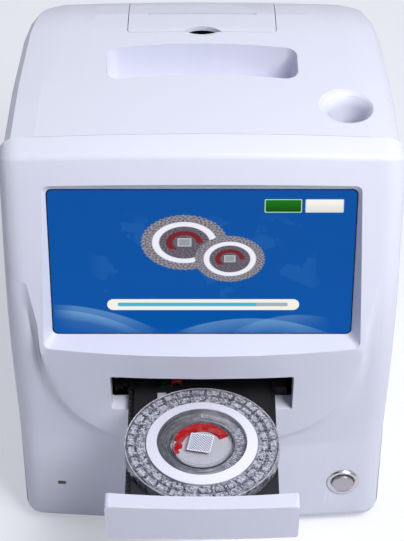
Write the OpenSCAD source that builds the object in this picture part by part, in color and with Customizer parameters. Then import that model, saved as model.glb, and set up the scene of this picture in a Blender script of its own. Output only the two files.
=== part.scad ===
// Benchtop chemistry analyzer, drawn in millimetres with its drawer open.
// X runs to the right, Y to the back and Z up. Depths are first measured from
// the nose, the foremost line of the front panel, and homed() then puts the
// origin on the table under the middle of the whole box.

/* [Body] */
// Overall width, which is that of the front panel
body_w = 200; // [190:1:212]
// Height of the top at its middle
body_h = 262.5; // [260:0.5:270]
// Depth from the nose to the rear wall
body_d = 214; // [210:1:225]
// Height that the feet lift the housing
foot_h = 5; // [4:0.5:8]
// Thickness of the moulded walls
wall = 2.6; // [2.2:0.1:3]
// Rounding along the side edges
corner_r = 8; // [6:0.5:10]
// Rounding of the upright edges at the rear
rear_corner_r = 16; // [12:1:20]
// Radius that joins the top to the rear wall
rear_round_r = 80; // [76:1:84]
// Drop of the top from its middle to its sides
top_crown = 3; // [1:0.5:5]
// Step from the front panel in to each side of the rear cover
cover_step = 2; // [1:0.25:3]
// Share of its width that the rear cover loses towards the rear
cover_taper = 0.13; // [0.08:0.01:0.16]

/* [Front panel] */
// Height of the nose
nose_z = 150.5; // [148:0.5:153]
// Lean of the screen frame, in degrees from upright
frame_lean = 14.3; // [13:0.1:15.5]
// Lean of the face below the nose, in degrees
lower_lean = 8; // [6:0.25:10]
// Depth of the seam between the front panel and the rear cover
seam_y = 40.5; // [38:0.5:44]
// Width of the groove along that seam
seam_gap = 0.4; // [0.2:0.1:0.8]
// Height of the front edge of the top
brow_z = 258.9; // [258:0.1:259.5]
// Bow of the front in plan at the nose
front_crown = 4.7; // [4:0.1:6]
// How far the raised tongue stands out of the lower sides
tongue_set = 3; // [2:0.25:4]
// Half width of the raised tongue
tongue_half_w = 84.2; // [82:0.2:86]
// Height where the sides of the tongue run upright
tongue_top_z = 165; // [160:1:170]
// Height of the rounded bottom of the tongue
tongue_bottom_z = 77.2; // [74:0.2:82]
// Width of the soft step round the tongue
tongue_step_w = 4.5; // [3:0.25:6]
// Height of the crease across the lower face
crease_z = 66; // [60:1:70]
// Rounding of the lower front edge
lower_edge_r = 6; // [4:0.5:8]

/* [Screen] */
// Width of the lit screen
screen_w = 154.1; // [150:0.1:157]
// Height of the lit screen
screen_h = 85.9; // [82:0.1:88]
// Depth of the lower edge of the screen
screen_y = 13.6; // [12.5:0.1:15]
// Height of the lower edge of the screen
screen_z = 153.9; // [153:0.1:156]
// Lean of the screen, in degrees
screen_tilt = 9.2; // [8:0.1:10.5]
// Draft of the side walls of the screen pocket, in degrees
pocket_side_draft = 28; // [20:1:32]
// Draft of the sill under the screen, in degrees
pocket_sill_draft = 23; // [18:1:27]
// Draft of the wall above the screen, in degrees
pocket_top_draft = 48; // [40:1:52]
// Rounding of the corners of the screen
screen_r = 3; // [1.5:0.5:4]
// Thickness of the touch glass
glass_t = 1.4; // [1:0.1:2]
// Margin of the touch glass all round the lit screen
glass_margin = 4; // [3:0.25:5]
// Thickness of the display panel
panel_t = 6; // [4:0.5:8]

/* [Drawer] */
// Width of the drawer slot
slot_w = 95.9; // [95:0.1:98]
// Height of the drawer slot
slot_h = 27.7; // [27:0.1:30]
// Height of the bottom of the drawer slot
slot_z = 104.3; // [102:0.1:107]
// Depth of the ledges inside the slot
ledge_d = 12; // [10:0.5:13]
// Travel of the drawer
drawer_travel = 88.7; // [84:0.1:90]
// Gap round the drawer front
drawer_gap = 0.5; // [0.3:0.05:0.8]
// Thickness of the drawer front at its middle
drawer_front_t = 8.2; // [7:0.1:9]
// Width of the tray
tray_w = 78; // [77:0.5:79.5]
// Thickness of the tray floor
tray_floor_t = 3.6; // [3.2:0.1:3.8]
// Height of the tray walls
tray_h = 6; // [5:0.25:7]
// Length of the tray behind the drawer front
tray_len = 112; // [110:1:116]
// Height of the tray over the bottom of the slot
tray_lift = 1; // [0.8:0.1:1.5]
// Gap between the tray and its rails
rail_gap = 0.3; // [0.2:0.05:0.4]
// Distance from the back of the drawer front to the disc's axis
disc_back = 44.8; // [44:0.1:48]

/* [Reagent disc] */
// Diameter of the disc
disc_d = 80; // [76:0.5:80]
// Height of the disc at its rim
disc_h = 7; // [6:0.2:8]
// Number of cuvettes round the rim
cuvettes = 30; // [20:1:36]
// Width of one cuvette
cuvette_w = 4.4; // [3:0.2:4.8]
// Length of one cuvette, along the radius
cuvette_l = 5.6; // [4:0.2:6.5]
// Outer diameter of the white ring on the disc
ring_od = 57.4; // [56:0.1:60]
// Inner diameter of the white ring on the disc
ring_id = 46.4; // [44:0.1:48]
// Rise of the white ring from its outer to its inner edge
ring_rise = 1; // [0.4:0.1:1.5]
// Diameter of the clear chamber in the middle of the disc
chamber_d = 33.4; // [30:0.2:38]
// Height of that chamber above the rim of the disc
chamber_rise = 0.2; // [0:0.1:2]
// Side of the square code label
code_side = 12.2; // [11:0.1:14]

/* [Top] */
// Distance of the sample well from the middle
well_x = 73.2; // [70:0.2:75]
// Depth of the sample well from the nose
well_y = 65.6; // [62:0.2:70]
// Diameter of the flared mouth of the sample well
well_mouth_d = 30.3; // [28:0.1:32]
// Depth of the flare of the sample well
well_flare = 7.2; // [5:0.2:9]
// Bore of the sample well
well_bore_d = 19.8; // [18:0.1:21]
// Depth of the sample well below the top
well_depth = 46; // [35:1:60]
// Wall of the sample well's liner
liner_t = 1.6; // [1.2:0.1:2]
// How much the sample cup and its seat narrow towards the bottom
liner_draft = 0.4; // [0.2:0.1:0.8]
// Width of the handle recess
handle_w = 98.4; // [90:0.2:106]
// Depth of the front edge of the handle recess from the nose
handle_y = 90.8; // [88:0.2:92]
// Width of the handle recess from front to back
handle_l = 27.8; // [24:0.2:29]
// Bow of the handle recess
handle_bow = 4; // [2:0.25:5]
// Depth of the handle recess
handle_deep = 24; // [18:1:32]
// Width of the printer lid
lid_w = 77.8; // [76:0.2:82]
// Depth of the front edge of the printer lid from the nose
lid_y = 129.8; // [129:0.2:131]
// Depth of the rear edge of the printer lid from the nose
lid_rear_y = 187; // [186:0.5:188]
// Gap round the printer lid
lid_gap = 0.4; // [0.3:0.05:0.6]
// Width of the paper slit
slit_w = 57.9; // [57.5:0.1:60]
// Depth of the paper slit from the nose
slit_y = 149; // [148:0.2:150]
// Opening angle of the printer lid
lid_open = 80; // [60:1:80]
// Diameter of the lid's hinge pin
pin_d = 3; // [2.5:0.1:3.4]
// Clearance on the radius of shafts and pins that turn
running_gap = 0.05; // [0.02:0.01:0.09]
// Diameter of the paper roll
roll_d = 40; // [34:0.5:40]
// Width of the paper
paper_w = 57.5; // [57:0.1:58]
// Diameter of the platen roller
platen_d = 10; // [9:0.2:11]

/* [Controls] */
// Distance of the power button from the middle
button_x = 79; // [76:0.5:80]
// Height of the power button
button_z = 35.8; // [30:0.2:40]
// Diameter of the power button's flange
flange_d = 18.4; // [17.5:0.1:20]
// Diameter of the power button's moving cap
cap_d = 12; // [10:0.1:12.5]
// Travel of the power button
button_travel = 2; // [1:0.1:2.5]
// Distance of the indicator window from the middle
lamp_x = -78.6; // [-80:0.2:-76]
// Height of the indicator window
lamp_z = 35; // [30:0.5:40]

/* [Works] */
// Height of the underside of the optical bench
bench_z = 92; // [90:0.5:92.5]
// Thickness of the optical bench
bench_t = 6; // [5:0.5:6]
// Travel of the spindle lift
lift_travel = 6.4; // [5.4:0.2:6.8]
// Diameter of the spindle chuck
chuck_d = 14; // [12:0.5:16]
// Side of the square fan
fan_side = 60; // [50:1:60]
// Thickness of the fan
fan_t = 15; // [12:0.5:15]
// Number of fan blades
fan_blades = 7; // [5:1:9]
// Teeth of the drive pinion
pinion_teeth = 16; // [16:1:18]
// Size of the rack and pinion teeth, as the gear module
tooth_m = 1; // [0.9:0.05:1]
// Thickness of the circuit boards
board_t = 1.6; // [1.2:0.1:2]

/* [Hidden] */

$fn = 48;
// Segments of small rounds and of polygon arcs
small_fn = 24;
// Overlap that a cut runs past the face it opens
eps = 0.5;

half_w = body_w / 2;
cover_half_w = half_w - cover_step;
// The rear round's centre
round_y = body_d - rear_round_r;
round_z = body_h - rear_round_r;
// Height above which the top's crown fades in
crown_fade_z = body_h - 62.5;

// Slopes of the two front faces, as depth per height
frame_slope = tan(frame_lean);
lower_slope = tan(lower_lean);
// The lower side faces meet the frame here, with a soft round of this half height
blend_z = nose_z + tongue_set / (frame_slope + lower_slope);
blend_h = 30;

// The bracket presses the display panel and the glass from behind against the rim of the pocket
panel_w = screen_w + 4.4;
panel_h = screen_h + 5;
// The bosses beside the screen stand halfway between the panel and the side walls
screen_boss_x = (panel_w / 2 + half_w - wall - 2.5) / 2;
screen_boss_y = screen_h / 2 + 2;

// Sample well, whose liner ends just under the edge that the seat leaves in the flare
well_top = body_h - drop(well_x, body_h);
well_r = well_bore_d / 2;
mouth_r = well_mouth_d / 2;
liner_r = well_r + liner_t;
liner_fit = 0.05;
seat_r = liner_r + liner_fit;
well_floor_z = body_h - well_depth;

// Drawer places
drawer_front_z = slot_z + drawer_gap;
drawer_front_h = slot_h - 2 * drawer_gap;
drawer_front_w = slot_w - 2 * drawer_gap;
tray_z = slot_z + tray_lift;
tray_y = tongue_y(drawer_front_z) + drawer_front_t + 1.2;
tray_open_y = tray_y - drawer_travel;
// How much thicker the drawer front is at its ends
drawer_front_bow = 2.6;
disc_y = tray_open_y + disc_back;
disc_z = tray_z + tray_floor_t + rail_gap;
rim_z = disc_z + disc_h;
disc_cover_t = 2.2;
disc_floor_t = 3.2;
seat_y = disc_y + drawer_travel;
ledge_y = tongue_y(slot_z) + ledge_d;

// The origin lies under the middle of the whole box, with the drawer open
front_most_y = tongue_y(drawer_front_z + drawer_front_h) - drawer_travel;
y_mid = (body_d + front_most_y) / 2;

// Works places
bench_top = bench_z + bench_t;
bench_half_w = 60;
bench_y0 = ledge_y + 0.6;
bench_y1 = 150;
chamber_top = slot_z + slot_h + 5;
chamber_t = 2;
heater_t = 3;
plate_t = 2;
plate_top = foot_h + plate_t;
post_x = 54;
post_y = [50, 140];
post_d = 8;
read_y = seat_y + disc_d / 2 - cuvette_l / 2 - 1;
rear_in_y = body_d - wall;

// Printer places
hinge_depth = pin_d / 2 + 3.6;
hinge_a = asin((lid_rear_y - round_y) / rear_round_r);
hinge_y = round_y + (rear_round_r - hinge_depth) * sin(hinge_a);
hinge_z = round_z + (rear_round_r - hinge_depth) * cos(hinge_a);
barrel_r = hinge_depth - 0.1;
bay_wall = 2;
bay_half_w = lid_w / 2 + lid_gap + 0.1;
bay_y0 = lid_y + 1.2;
bay_y1 = lid_rear_y + 5.5;
roll_z = body_h - roll_d / 2 - 23.5;
roll_y = lid_rear_y - 21;
bay_floor_z = roll_z - roll_d / 2 - 0.3;
platen_y = slit_y + 1.5;
platen_z = hinge_z + 5;
platen_shaft_d = 3;

// Drive places
pitch_r = pinion_teeth * tooth_m / 2;
rack_pitch_x = -tray_w / 2 + tooth_m;
pinion_x = rack_pitch_x - pitch_r;
pinion_h = 1.7;
pinion_y = ledge_y + pitch_r + tooth_m + 0.9;
rack_z = tray_z + 1.3;
rack_h = 2.1;

// Board and fan places
board_y = rear_in_y - 15.4;
board_x0 = -(half_w - 22);
board_w = 80;
board_z0 = 16;
board_h = 134;
port_z = board_z0 + 3;
fan_x = board_x0 + board_w + fan_side / 2 + 3;
fan_z = 98;
inlet_x = half_w - 55;
inlet_z = 36;

// Functions

function mix(a, b, t) = a + (b - a) * t;
function clamp01(t) = min(1, max(0, t));

// Inner half width of the rear cover at depth y
function cover_in(y) = (cover_half_w - wall)
  * (1 - cover_taper * (y - seam_y) / (body_d - rear_corner_r - seam_y));

// The well's flare: its radius and height after a turn, and the turn at which it reaches a radius
function flare_point(turn, grow) =
  [well_r + (mouth_r - well_r) * (1 - cos(turn)) + grow, well_top - well_flare * (1 - sin(turn))];
function flare_turn(r) = acos(1 - (r - well_r) / (mouth_r - well_r));

// Depth of the raised tongue and of the screen frame at height z
function tongue_y(z) = z < nose_z ? (nose_z - z) * lower_slope : (z - nose_z) * frame_slope;

// Depth of the lower side faces, which stay upright below the crease
function side_y(z) =
  z < crease_z ? tongue_set + (nose_z - crease_z) * lower_slope
  : z < blend_z - blend_h ? tongue_set + (nose_z - z) * lower_slope
  : z > blend_z + blend_h ? (z - nose_z) * frame_slope
  : tongue_set + (nose_z - z) * lower_slope
    + (frame_slope + lower_slope) * pow(z - blend_z + blend_h, 2) / (4 * blend_h);

// Bow of the front in plan, which is strongest at the nose
function bow(x, z) =
  let (k = z < nose_z
    ? mix(front_crown * 0.62, front_crown, z / nose_z)
    : mix(front_crown, front_crown * 0.2, clamp01((z - nose_z) / (brow_z - nose_z))))
  k * pow(x / 80, 2);

// Drop of the top towards the sides
function drop(x, z) =
  top_crown * pow(x / half_w, 2) * clamp01((z - crown_fade_z) / (body_h - crown_fade_z));

// Lower outline of the tongue, widened by grow
function tongue_edge(x, grow) =
  let (a = tongue_half_w + grow, b = tongue_top_z - tongue_bottom_z + grow)
  abs(x) >= a ? tongue_top_z : tongue_top_z - b * sqrt(1 - pow(abs(x) / a, 3.8));

// One closed section of the front panel as [depth, height, normal angle] rows.
// lift is 1 where the tongue stands out and 0 for the plain faces behind it.
function front_section(x, lift) =
  let (
    z_out = tongue_edge(x, tongue_step_w),
    z_in = abs(x) > tongue_half_w ? blend_z + blend_h : tongue_edge(x, 0),
    raised = abs(x) > tongue_half_w + eps ? 0 : lift,
    z_nose = max(nose_z, z_in + 2),
    z_base = foot_h + lower_edge_r,
    y_base = side_y(z_base),
    y_brow = tongue_y(brow_z),
    z_brow = brow_z - 2.2
  )
  [
    [seam_y, foot_h, -90],
    [y_base + lower_edge_r, foot_h, -90],
    [y_base + lower_edge_r * (1 - cos(45)), foot_h + lower_edge_r * (1 - sin(45)), -45],
    [y_base, z_base, 0],
    [side_y(crease_z), crease_z, 0],
    for (t = [0.25, 0.5, 0.75])
      let (z = mix(crease_z, z_out, t)) [side_y(z), z, 0],
    [side_y(z_out), z_out, 0],
    let (z = (z_out + z_in) / 2) [mix(side_y(z), tongue_y(z), raised / 2), z, 0],
    [mix(side_y(z_in), tongue_y(z_in), raised), z_in, 0],
    let (z = (z_in + z_nose) / 2) [mix(side_y(z), tongue_y(z), raised), z, 0],
    [mix(side_y(z_nose), tongue_y(z_nose), raised), z_nose, 0],
    for (t = [0.2, 0.45, 0.7])
      let (z = mix(z_nose, z_brow, t)) [mix(side_y(z), tongue_y(z), raised), z, 0],
    [tongue_y(z_brow), z_brow, 15],
    [y_brow + 0.5, brow_z + 0.1, 45],
    [y_brow + 2.3, brow_z + 0.8, 75],
    [mix(y_brow + 2.3, seam_y, 0.5), mix(brow_z + 0.8, body_h, 0.62), 85],
    [seam_y, body_h, 90]
  ];

// One closed section of the rear cover, from the seam over the top and down the rear
function rear_section(y_front) = [
  [y_front, foot_h, 270],
  [body_d - 3, foot_h, 270],
  [body_d - 0.9, foot_h + 0.9, 225],
  [body_d, foot_h + 3, 180],
  [body_d, round_z * 0.5, 180],
  for (a = [90:-11.25:11.25])
    [round_y + rear_round_r * sin(a), round_z + rear_round_r * cos(a), 90 + a],
  [round_y, body_h, 90],
  [mix(y_front, round_y, 0.5), body_h, 90],
  [y_front, body_h, 90]
];

// Puts a section at width x. turn runs from 0 on the flat to 90 on the side face.
function front_ring(x, turn, lift, inset) =
  let (
    s = front_section(x, lift),
    last = len(s) - 1,
    w = half_w - inset,
    r = corner_r,
    px = turn > 0 ? sign(x) * (w - r * (1 - sin(turn))) : x,
    d = r * (1 - cos(turn)) + inset
  )
  [for (i = [last:-1:0]) let (p = s[i], seam = i == 0 || i == last) [
    px,
    p[0] + (seam ? inset : bow(px, p[1]) + d * cos(p[2])),
    p[1] - d * sin(p[2]) - drop(px, p[1])
  ]];

function rear_ring(x, turn, inset) =
  [for (p = rear_section(seam_y + seam_gap - inset))
    let (
      a = p[2],
      rearward = p[0] > round_y && a > 180 ? 1 : max(0, cos(a - 180)),
      r = mix(corner_r, rear_corner_r, rearward),
      w = cover_half_w - inset,
      px = turn > 0 ? sign(x) * (w - r * (1 - sin(turn))) : x,
      y = p[0] - (r * (1 - cos(turn)) + inset) * rearward,
      rise = (a > 180 ? corner_r : r) * (1 - cos(turn)) + inset,
      z = p[1] - rise * sin(a) - (inset > 0 && a > 180 ? 3 * inset : 0) - drop(px, p[1]),
      narrow = 1 - cover_taper * pow((p[0] - seam_y) / (body_d - seam_y), 2)
    )
    [px * narrow, y, z]];

// Widths of the flat part of a section, and the turns round its side edge
function both_sides(flat, turns, w) = concat(
  [for (i = [len(turns) - 1:-1:0]) [-w, turns[i]]],
  [for (i = [len(flat) - 1:-1:1]) [-flat[i], 0]],
  [for (x = flat) [x, 0]],
  [for (t = turns) [w, t]]
);

// Skin over a row of closed rings, with a fan of triangles over each end
module skin(rings) {
  n = len(rings[0]);
  m = len(rings);
  flat = [for (r = rings) for (p = r) p];
  ends = [for (r = [rings[0], rings[m - 1]]) [for (k = [0:2]) middle_of(r, k)]];
  sides = [for (j = [0:m - 2]) for (i = [0:n - 1])
    let (a = j * n + i, b = j * n + (i + 1) % n) each [[a, b + n, b], [a, a + n, b + n]]];
  first = [for (i = [0:n - 1]) [m * n, i, (i + 1) % n]];
  last = [for (i = [0:n - 1]) [m * n + 1, (m - 1) * n + (i + 1) % n, (m - 1) * n + i]];
  polyhedron(concat(flat, ends), concat(sides, first, last), convexity = 6);
}

function middle_of(ring, k) = let (v = [for (p = ring) p[k]]) (min(v) + max(v)) / 2;

// Shared shapes

module homed() {
  translate([0, -y_mid, 0]) children();
}

// A local frame on the screen: X to the right, Y up the screen, Z out of it
module at_screen() {
  translate([0, screen_y, screen_z]) rotate([90 - screen_tilt, 0, 0]) children();
}

module rounded_rect(w, h, r) {
  offset(r = r, $fn = small_fn) square([w - 2 * r, h - 2 * r], center = true);
}

// A plate that stands on z = 0, centred in X and Y
module rounded_plate(w, h, t, r) {
  linear_extrude(t) rounded_rect(w, h, r);
}

module block(x, y, z) {
  translate([x[0], y[0], z[0]]) cube([x[1] - x[0], y[1] - y[0], z[1] - z[0]]);
}

// Draws its children on both sides of the middle
module mirrored() {
  children();
  mirror([1, 0, 0]) children();
}

// A cylinder that lies along X
module rod_x(d, l, x = 0) {
  translate([x, 0, 0]) rotate([0, 90, 0]) cylinder(d = d, h = l, center = true);
}

// A cylinder that starts at the origin and runs to the back
module rod_y(d, l) {
  rotate([-90, 0, 0]) cylinder(d = d, h = l);
}

// Housing

turns = [0, 30, 55, 75, 90];
front_flats = [0, 28, 46.5, 57, 64, 69, 73, 76.5, 79.5, 82, 83.4, tongue_half_w, tongue_half_w + tongue_step_w];

module front_form() {
  skin([for (s = both_sides(front_flats, turns, half_w)) front_ring(
    s[1] == 0 && abs(s[0]) == half_w ? sign(s[0]) * (half_w - corner_r) : s[0], s[1], 1, 0)]);
}

module front_cavity() {
  w = half_w - wall;
  skin([for (s = both_sides([0, 30, 55, 75], [0, 45, 90], w)) front_ring(
    s[1] == 0 && abs(s[0]) == w ? sign(s[0]) * (w - corner_r) : s[0], s[1], 0, wall)]);
}

module rear_form(inset) {
  w = cover_half_w - inset;
  skin([for (s = both_sides([0, 20, 40, 60, 75], [0, 30, 55, 75, 90], w)) rear_ring(
    s[1] == 0 && abs(s[0]) == w ? sign(s[0]) * (w - rear_corner_r) : s[0], s[1], inset)]);
}

// The drafted pocket over the screen, grown all round for the wall behind it
module screen_pocket(grow) {
  reach = 22;
  w = screen_w + 2 * grow;
  side = reach * tan(pocket_side_draft);
  sill = reach * tan(pocket_sill_draft);
  top = reach * tan(pocket_top_draft);
  at_screen() hull() {
    translate([0, screen_h / 2, -grow]) rounded_plate(w, screen_h + 2 * grow, 0.01, screen_r + grow);
    translate([0, (screen_h + top - sill) / 2, reach - grow])
      rounded_plate(w + 2 * side, screen_h + top + sill + 2 * grow, 0.01, screen_r + grow);
  }
}

module slot_prism(grow, y0, y1) {
  translate([0, y1, slot_z + slot_h / 2]) rotate([90, 0, 0])
    rounded_plate(slot_w + 2 * grow, slot_h + 2 * grow, y1 - y0, 1.2 + grow);
}

// The panel's face at the power button leans by nothing, because it lies below the crease
button_y = side_y(button_z) + bow(button_x, button_z) - 0.4;

module front_panel() {
  color("#e8eaf6") homed() difference() {
    front_form();
    difference() {
      front_cavity();
      screen_pocket(wall);
      at_screen() translate([0, screen_h / 2, -glass_t - panel_t]) for (x = [-1, 1], y = [-1, 1])
        translate([x * screen_boss_x, y * screen_boss_y, 0]) cylinder(d = 7, h = 30);
      slot_prism(wall, -eps, ledge_y);
      translate([button_x, 0, button_z]) rod_y(flange_d + 6, button_y + wall + 2);
    }
    screen_pocket(0);
    at_screen() translate([0, screen_h / 2, -glass_t - wall])
      rounded_plate(screen_w + 2 * glass_margin + 0.4, screen_h + 2 * glass_margin + 0.4, glass_t + wall, 1);
    slot_prism(0, -20, ledge_y + eps);
    translate([button_x, -eps, button_z]) rod_y(flange_d - 2.2, seam_y);
    translate([button_x, -eps, button_z]) rod_y(flange_d + 0.4, button_y + 1 + eps);
    translate([lamp_x, 0, lamp_z]) rotate([90, 0, 0]) translate([0, 0, -seam_y])
      rounded_plate(4.8, 3, seam_y, 1);
    front_screw_holes();
  }
}

// Screws through the base plate into the two mouldings
front_screw_x = half_w - 22;
front_screw_y = seam_y - 4.5;
front_screw_l = 2.4 + wall + plate_t;
rear_screw_y = body_d - 34;
rear_screw_x = cover_in(rear_screw_y) - 3.9;
rear_screw_l = 16;
rear_boss_d = 10;
screw_spots = [
  [-front_screw_x, front_screw_y], [front_screw_x, front_screw_y],
  [-rear_screw_x, rear_screw_y], [rear_screw_x, rear_screw_y]
];

module front_screw_holes() {
  mirrored() translate([front_screw_x, front_screw_y, 0]) cylinder(d = 3.4, h = foot_h + wall + eps);
}

// The finger recess of the handle, bowed to the back
module handle_plan(grow) {
  r = (pow(handle_w / 2, 2) + pow(handle_bow, 2)) / (2 * handle_bow);
  translate([0, handle_y - r, 0]) offset(r = 7 + grow, $fn = small_fn) offset(delta = -7) intersection() {
    difference() {
      circle(r = r + handle_l, $fn = 240);
      circle(r = r, $fn = 240);
    }
    translate([-handle_w / 2, r / 2]) square([handle_w, r]);
  }
}

module handle_pocket(grow) {
  deep = handle_deep + grow;
  intersection() {
    translate([0, 0, body_h - deep]) linear_extrude(deep + 5) handle_plan(grow);
    translate([-body_w / 2, 0, 0]) rotate([90, 0, 90]) linear_extrude(body_w) union() {
      translate([handle_y - 10, body_h - deep + 14]) square([handle_l + 30, deep]);
      translate([handle_y + handle_l / 2 + 1, body_h - deep + 14]) scale([1.25, 1])
        circle(r = 14, $fn = small_fn * 2);
    }
  }
}

// Seat of the sample well's liner and the flared mouth over it
module well_shape(grow) {
  bottom = well_floor_z - liner_t - liner_fit - grow;
  first = flare_turn(seat_r);
  translate([well_x, well_y, 0]) rotate_extrude($fn = 64) polygon(concat(
    [[0, bottom], [seat_r - liner_draft + grow - 2, bottom], [seat_r - liner_draft + grow, bottom + 2]],
    [for (t = [0:0.25:1]) flare_point(mix(first, 90, t), grow)],
    [[mouth_r + grow, well_top + 5], [0, well_top + 5]]));
}

// A cup that lines the sample well and goes on with the flare
module well_liner() {
  bottom = well_floor_z - liner_t;
  last = flare_turn(liner_r - 0.2);
  color("#e4e6f3") homed() translate([well_x, well_y, 0]) rotate_extrude($fn = 64) polygon(concat(
    [[0, bottom], [liner_r - liner_draft - 2.1, bottom], [liner_r - liner_draft, bottom + 2.1]],
    [[liner_r, flare_point(last, 0)[1]]],
    [for (t = [1:-0.25:0]) flare_point(last * t, 0)],
    [[well_r, well_floor_z + 3], [well_r - 3, well_floor_z], [0, well_floor_z]]));
}

module lid_plan(grow) {
  y0 = lid_y - grow;
  y1 = lid_rear_y + (grow > 0 ? hinge_depth : 0);
  translate([0, (y0 + y1) / 2]) rounded_rect(lid_w + 2 * grow, y1 - y0, 2.4 + grow);
}

// The shallow scoop in front of the lid's finger notch
scoop_r = 21.8;
scoop_depth = 1.6;

module notch_scoop() {
  translate([0, lid_y, body_h + scoop_r - scoop_depth]) scale([1, 0.5, 1]) sphere(r = scoop_r, $fn = 64);
}

module rear_cover() {
  color("#e4e6f3") homed() difference() {
    rear_form(0);
    difference() {
      rear_form(wall);
      handle_pocket(wall);
      well_shape(wall);
      mirrored() translate([rear_screw_x, rear_screw_y, plate_top]) cylinder(d = rear_boss_d, h = rear_screw_l + 7);
    }
    handle_pocket(0);
    well_shape(0);
    translate([0, 0, round_z]) linear_extrude(body_h) lid_plan(lid_gap);
    notch_scoop();
    for (i = [-4:4]) translate([fan_x, body_d - wall - eps, fan_z + i * fan_side * 0.1])
      rotate([-90, 0, 0]) rounded_plate(sqrt(pow(fan_side / 2 - 2, 2) - pow(i * fan_side * 0.1, 2)) * 2,
        fan_side * 0.05, wall + 2 * eps, fan_side * 0.024);
    for (p = port_list) translate([p[0], rear_in_y - eps, p[1]])
      block([-p[2] / 2 - 0.3, p[2] / 2 + 0.3], [0, wall + 2 * eps], [-0.3, p[3] + 0.3]);
    block([inlet_x - 13.9, inlet_x + 13.9], [rear_in_y - eps, body_d + eps], [inlet_z - 10.2, inlet_z + 10.2]);
    mirrored() translate([rear_screw_x, rear_screw_y, 0]) cylinder(d = 3, h = plate_top + rear_screw_l - 1);
  }
}

module base_plan(inset) {
  y0 = seam_y + 1;
  y1 = body_d - rear_corner_r - wall;
  y2 = rear_in_y - 2;
  x2 = cover_in(y1) - rear_corner_r * 0.8;
  offset(r = 6, $fn = small_fn) offset(delta = -6 - inset) polygon([
    [-cover_in(y0), y0], [cover_in(y0), y0], [cover_in(y1), y1],
    [x2, y2], [-x2, y2], [-cover_in(y1), y1]
  ]);
}

foot_front = [half_w - 28, seam_y + 17.5];
foot_rear = [half_w - 34, body_d - 24];
foot_spots = [[-foot_front[0], foot_front[1]], foot_front, [-foot_rear[0], foot_rear[1]], foot_rear];

// The plate steps up at the front and laps over the floor of the front panel
tab_z = foot_h + wall + 0.2;
tab_half_w = half_w - 14;
tab_y = 32.5;

module base_plate() {
  color("#9aa0a8") homed() difference() {
    union() {
      translate([0, 0, foot_h]) linear_extrude(plate_t) base_plan(1);
      block([-tab_half_w, tab_half_w], [tab_y, seam_y + 5], [tab_z, tab_z + plate_t]);
      block([-tab_half_w, tab_half_w], [seam_y + 2.5, seam_y + 5], [foot_h, tab_z + plate_t]);
    }
    for (s = screw_spots) translate([s[0], s[1], 0]) cylinder(d = 3.4, h = 20);
    for (s = foot_spots) translate([s[0], s[1], 0]) cylinder(d = 5, h = 20);
    for (i = [-5:5]) translate([i * 9, 96, 0]) linear_extrude(20) rounded_rect(3, 46, 1.4);
  }
}

module rubber_feet() {
  color("#2b2b2e") homed() for (s = foot_spots) translate([s[0], s[1], 0]) {
    cylinder(d1 = 15, d2 = 17, h = foot_h);
    cylinder(d = 4.8, h = plate_top + 0.3);
    translate([0, 0, plate_top]) cylinder(d1 = 8, d2 = 5, h = 2.5);
  }
}

module housing_screws() {
  color("#b9bcc2") homed() for (s = screw_spots) translate([s[0], s[1], foot_h - 2]) {
    cylinder(d = 6, h = 2);
    cylinder(d = 2.9, h = s[1] < seam_y ? front_screw_l : rear_screw_l);
  }
}

// Screen

module touch_glass() {
  color("#0a4f9e") homed() at_screen() translate([0, screen_h / 2, -glass_t])
    rounded_plate(screen_w + 2 * glass_margin, screen_h + 2 * glass_margin, glass_t, 1);
}

module display_panel() {
  color("#3a3d42") homed() at_screen() translate([0, screen_h / 2, -glass_t - panel_t - 0.2]) difference() {
    rounded_plate(panel_w, panel_h, panel_t, 0.8);
    for (x = [-1, 1], y = [-1, 1]) translate([x * screen_boss_x, y * screen_boss_y, -eps])
      cylinder(d = 8, h = 30);
  }
}

module display_bracket() {
  t = 1.2;
  color("#b4b8bd") homed() at_screen() translate([0, screen_h / 2, -glass_t - panel_t - 0.4 - t]) difference() {
    rounded_plate(2 * screen_boss_x + 8, screen_h + 12, t, 4);
    for (x = [-1, 1], y = [-1, 1]) translate([x * screen_boss_x, y * screen_boss_y, -eps])
      cylinder(d = 3.4, h = 5);
    for (x = [-50, 0, 50]) translate([x, 0, -eps]) rounded_plate(34, screen_h * 0.6, 5, 3);
  }
}

module display_screws() {
  color("#b9bcc2") homed() at_screen() translate([0, screen_h / 2, -glass_t - panel_t - 3.6])
    for (x = [-1, 1], y = [-1, 1]) translate([x * screen_boss_x, y * screen_boss_y, 0]) {
      cylinder(d = 5.6, h = 2);
      cylinder(d = 2.6, h = 3.5);
    }
}

// Controls

module power_button_ring() {
  color("#c3c6cc") homed() translate([button_x, button_y + 1, button_z]) rotate([90, 0, 0])
    rotate_extrude($fn = 64) polygon([
      [cap_d / 2 + 0.3, -12], [flange_d / 2 - 1.3, -12], [flange_d / 2 - 1.3, 0],
      [flange_d / 2, 0], [flange_d / 2, 1], [flange_d / 2 - 0.6, 1.8],
      [cap_d / 2 + 1.4, 1.8], [cap_d / 2 + 0.3, 1.2]
    ]);
}

module power_button_nut() {
  y = button_y + wall + 2.2;
  color("#a9adb3") homed() translate([button_x, y, button_z]) rotate([-90, 0, 0]) difference() {
    cylinder(d = flange_d + 3, h = 3, $fn = 6);
    translate([0, 0, -eps]) cylinder(d = flange_d - 2.6 + 2 * running_gap, h = 4);
  }
}

module power_button_cap() {
  color("#d5d8de") homed() translate([button_x, button_y + 1, button_z]) rotate([90, 0, 0]) {
    rotate_extrude($fn = 64) polygon([
      [0, -8], [cap_d / 2, -8], [cap_d / 2, 2.2], [cap_d / 2 - 0.6, 2.8], [0, 3.1]
    ]);
  }
}

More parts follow.
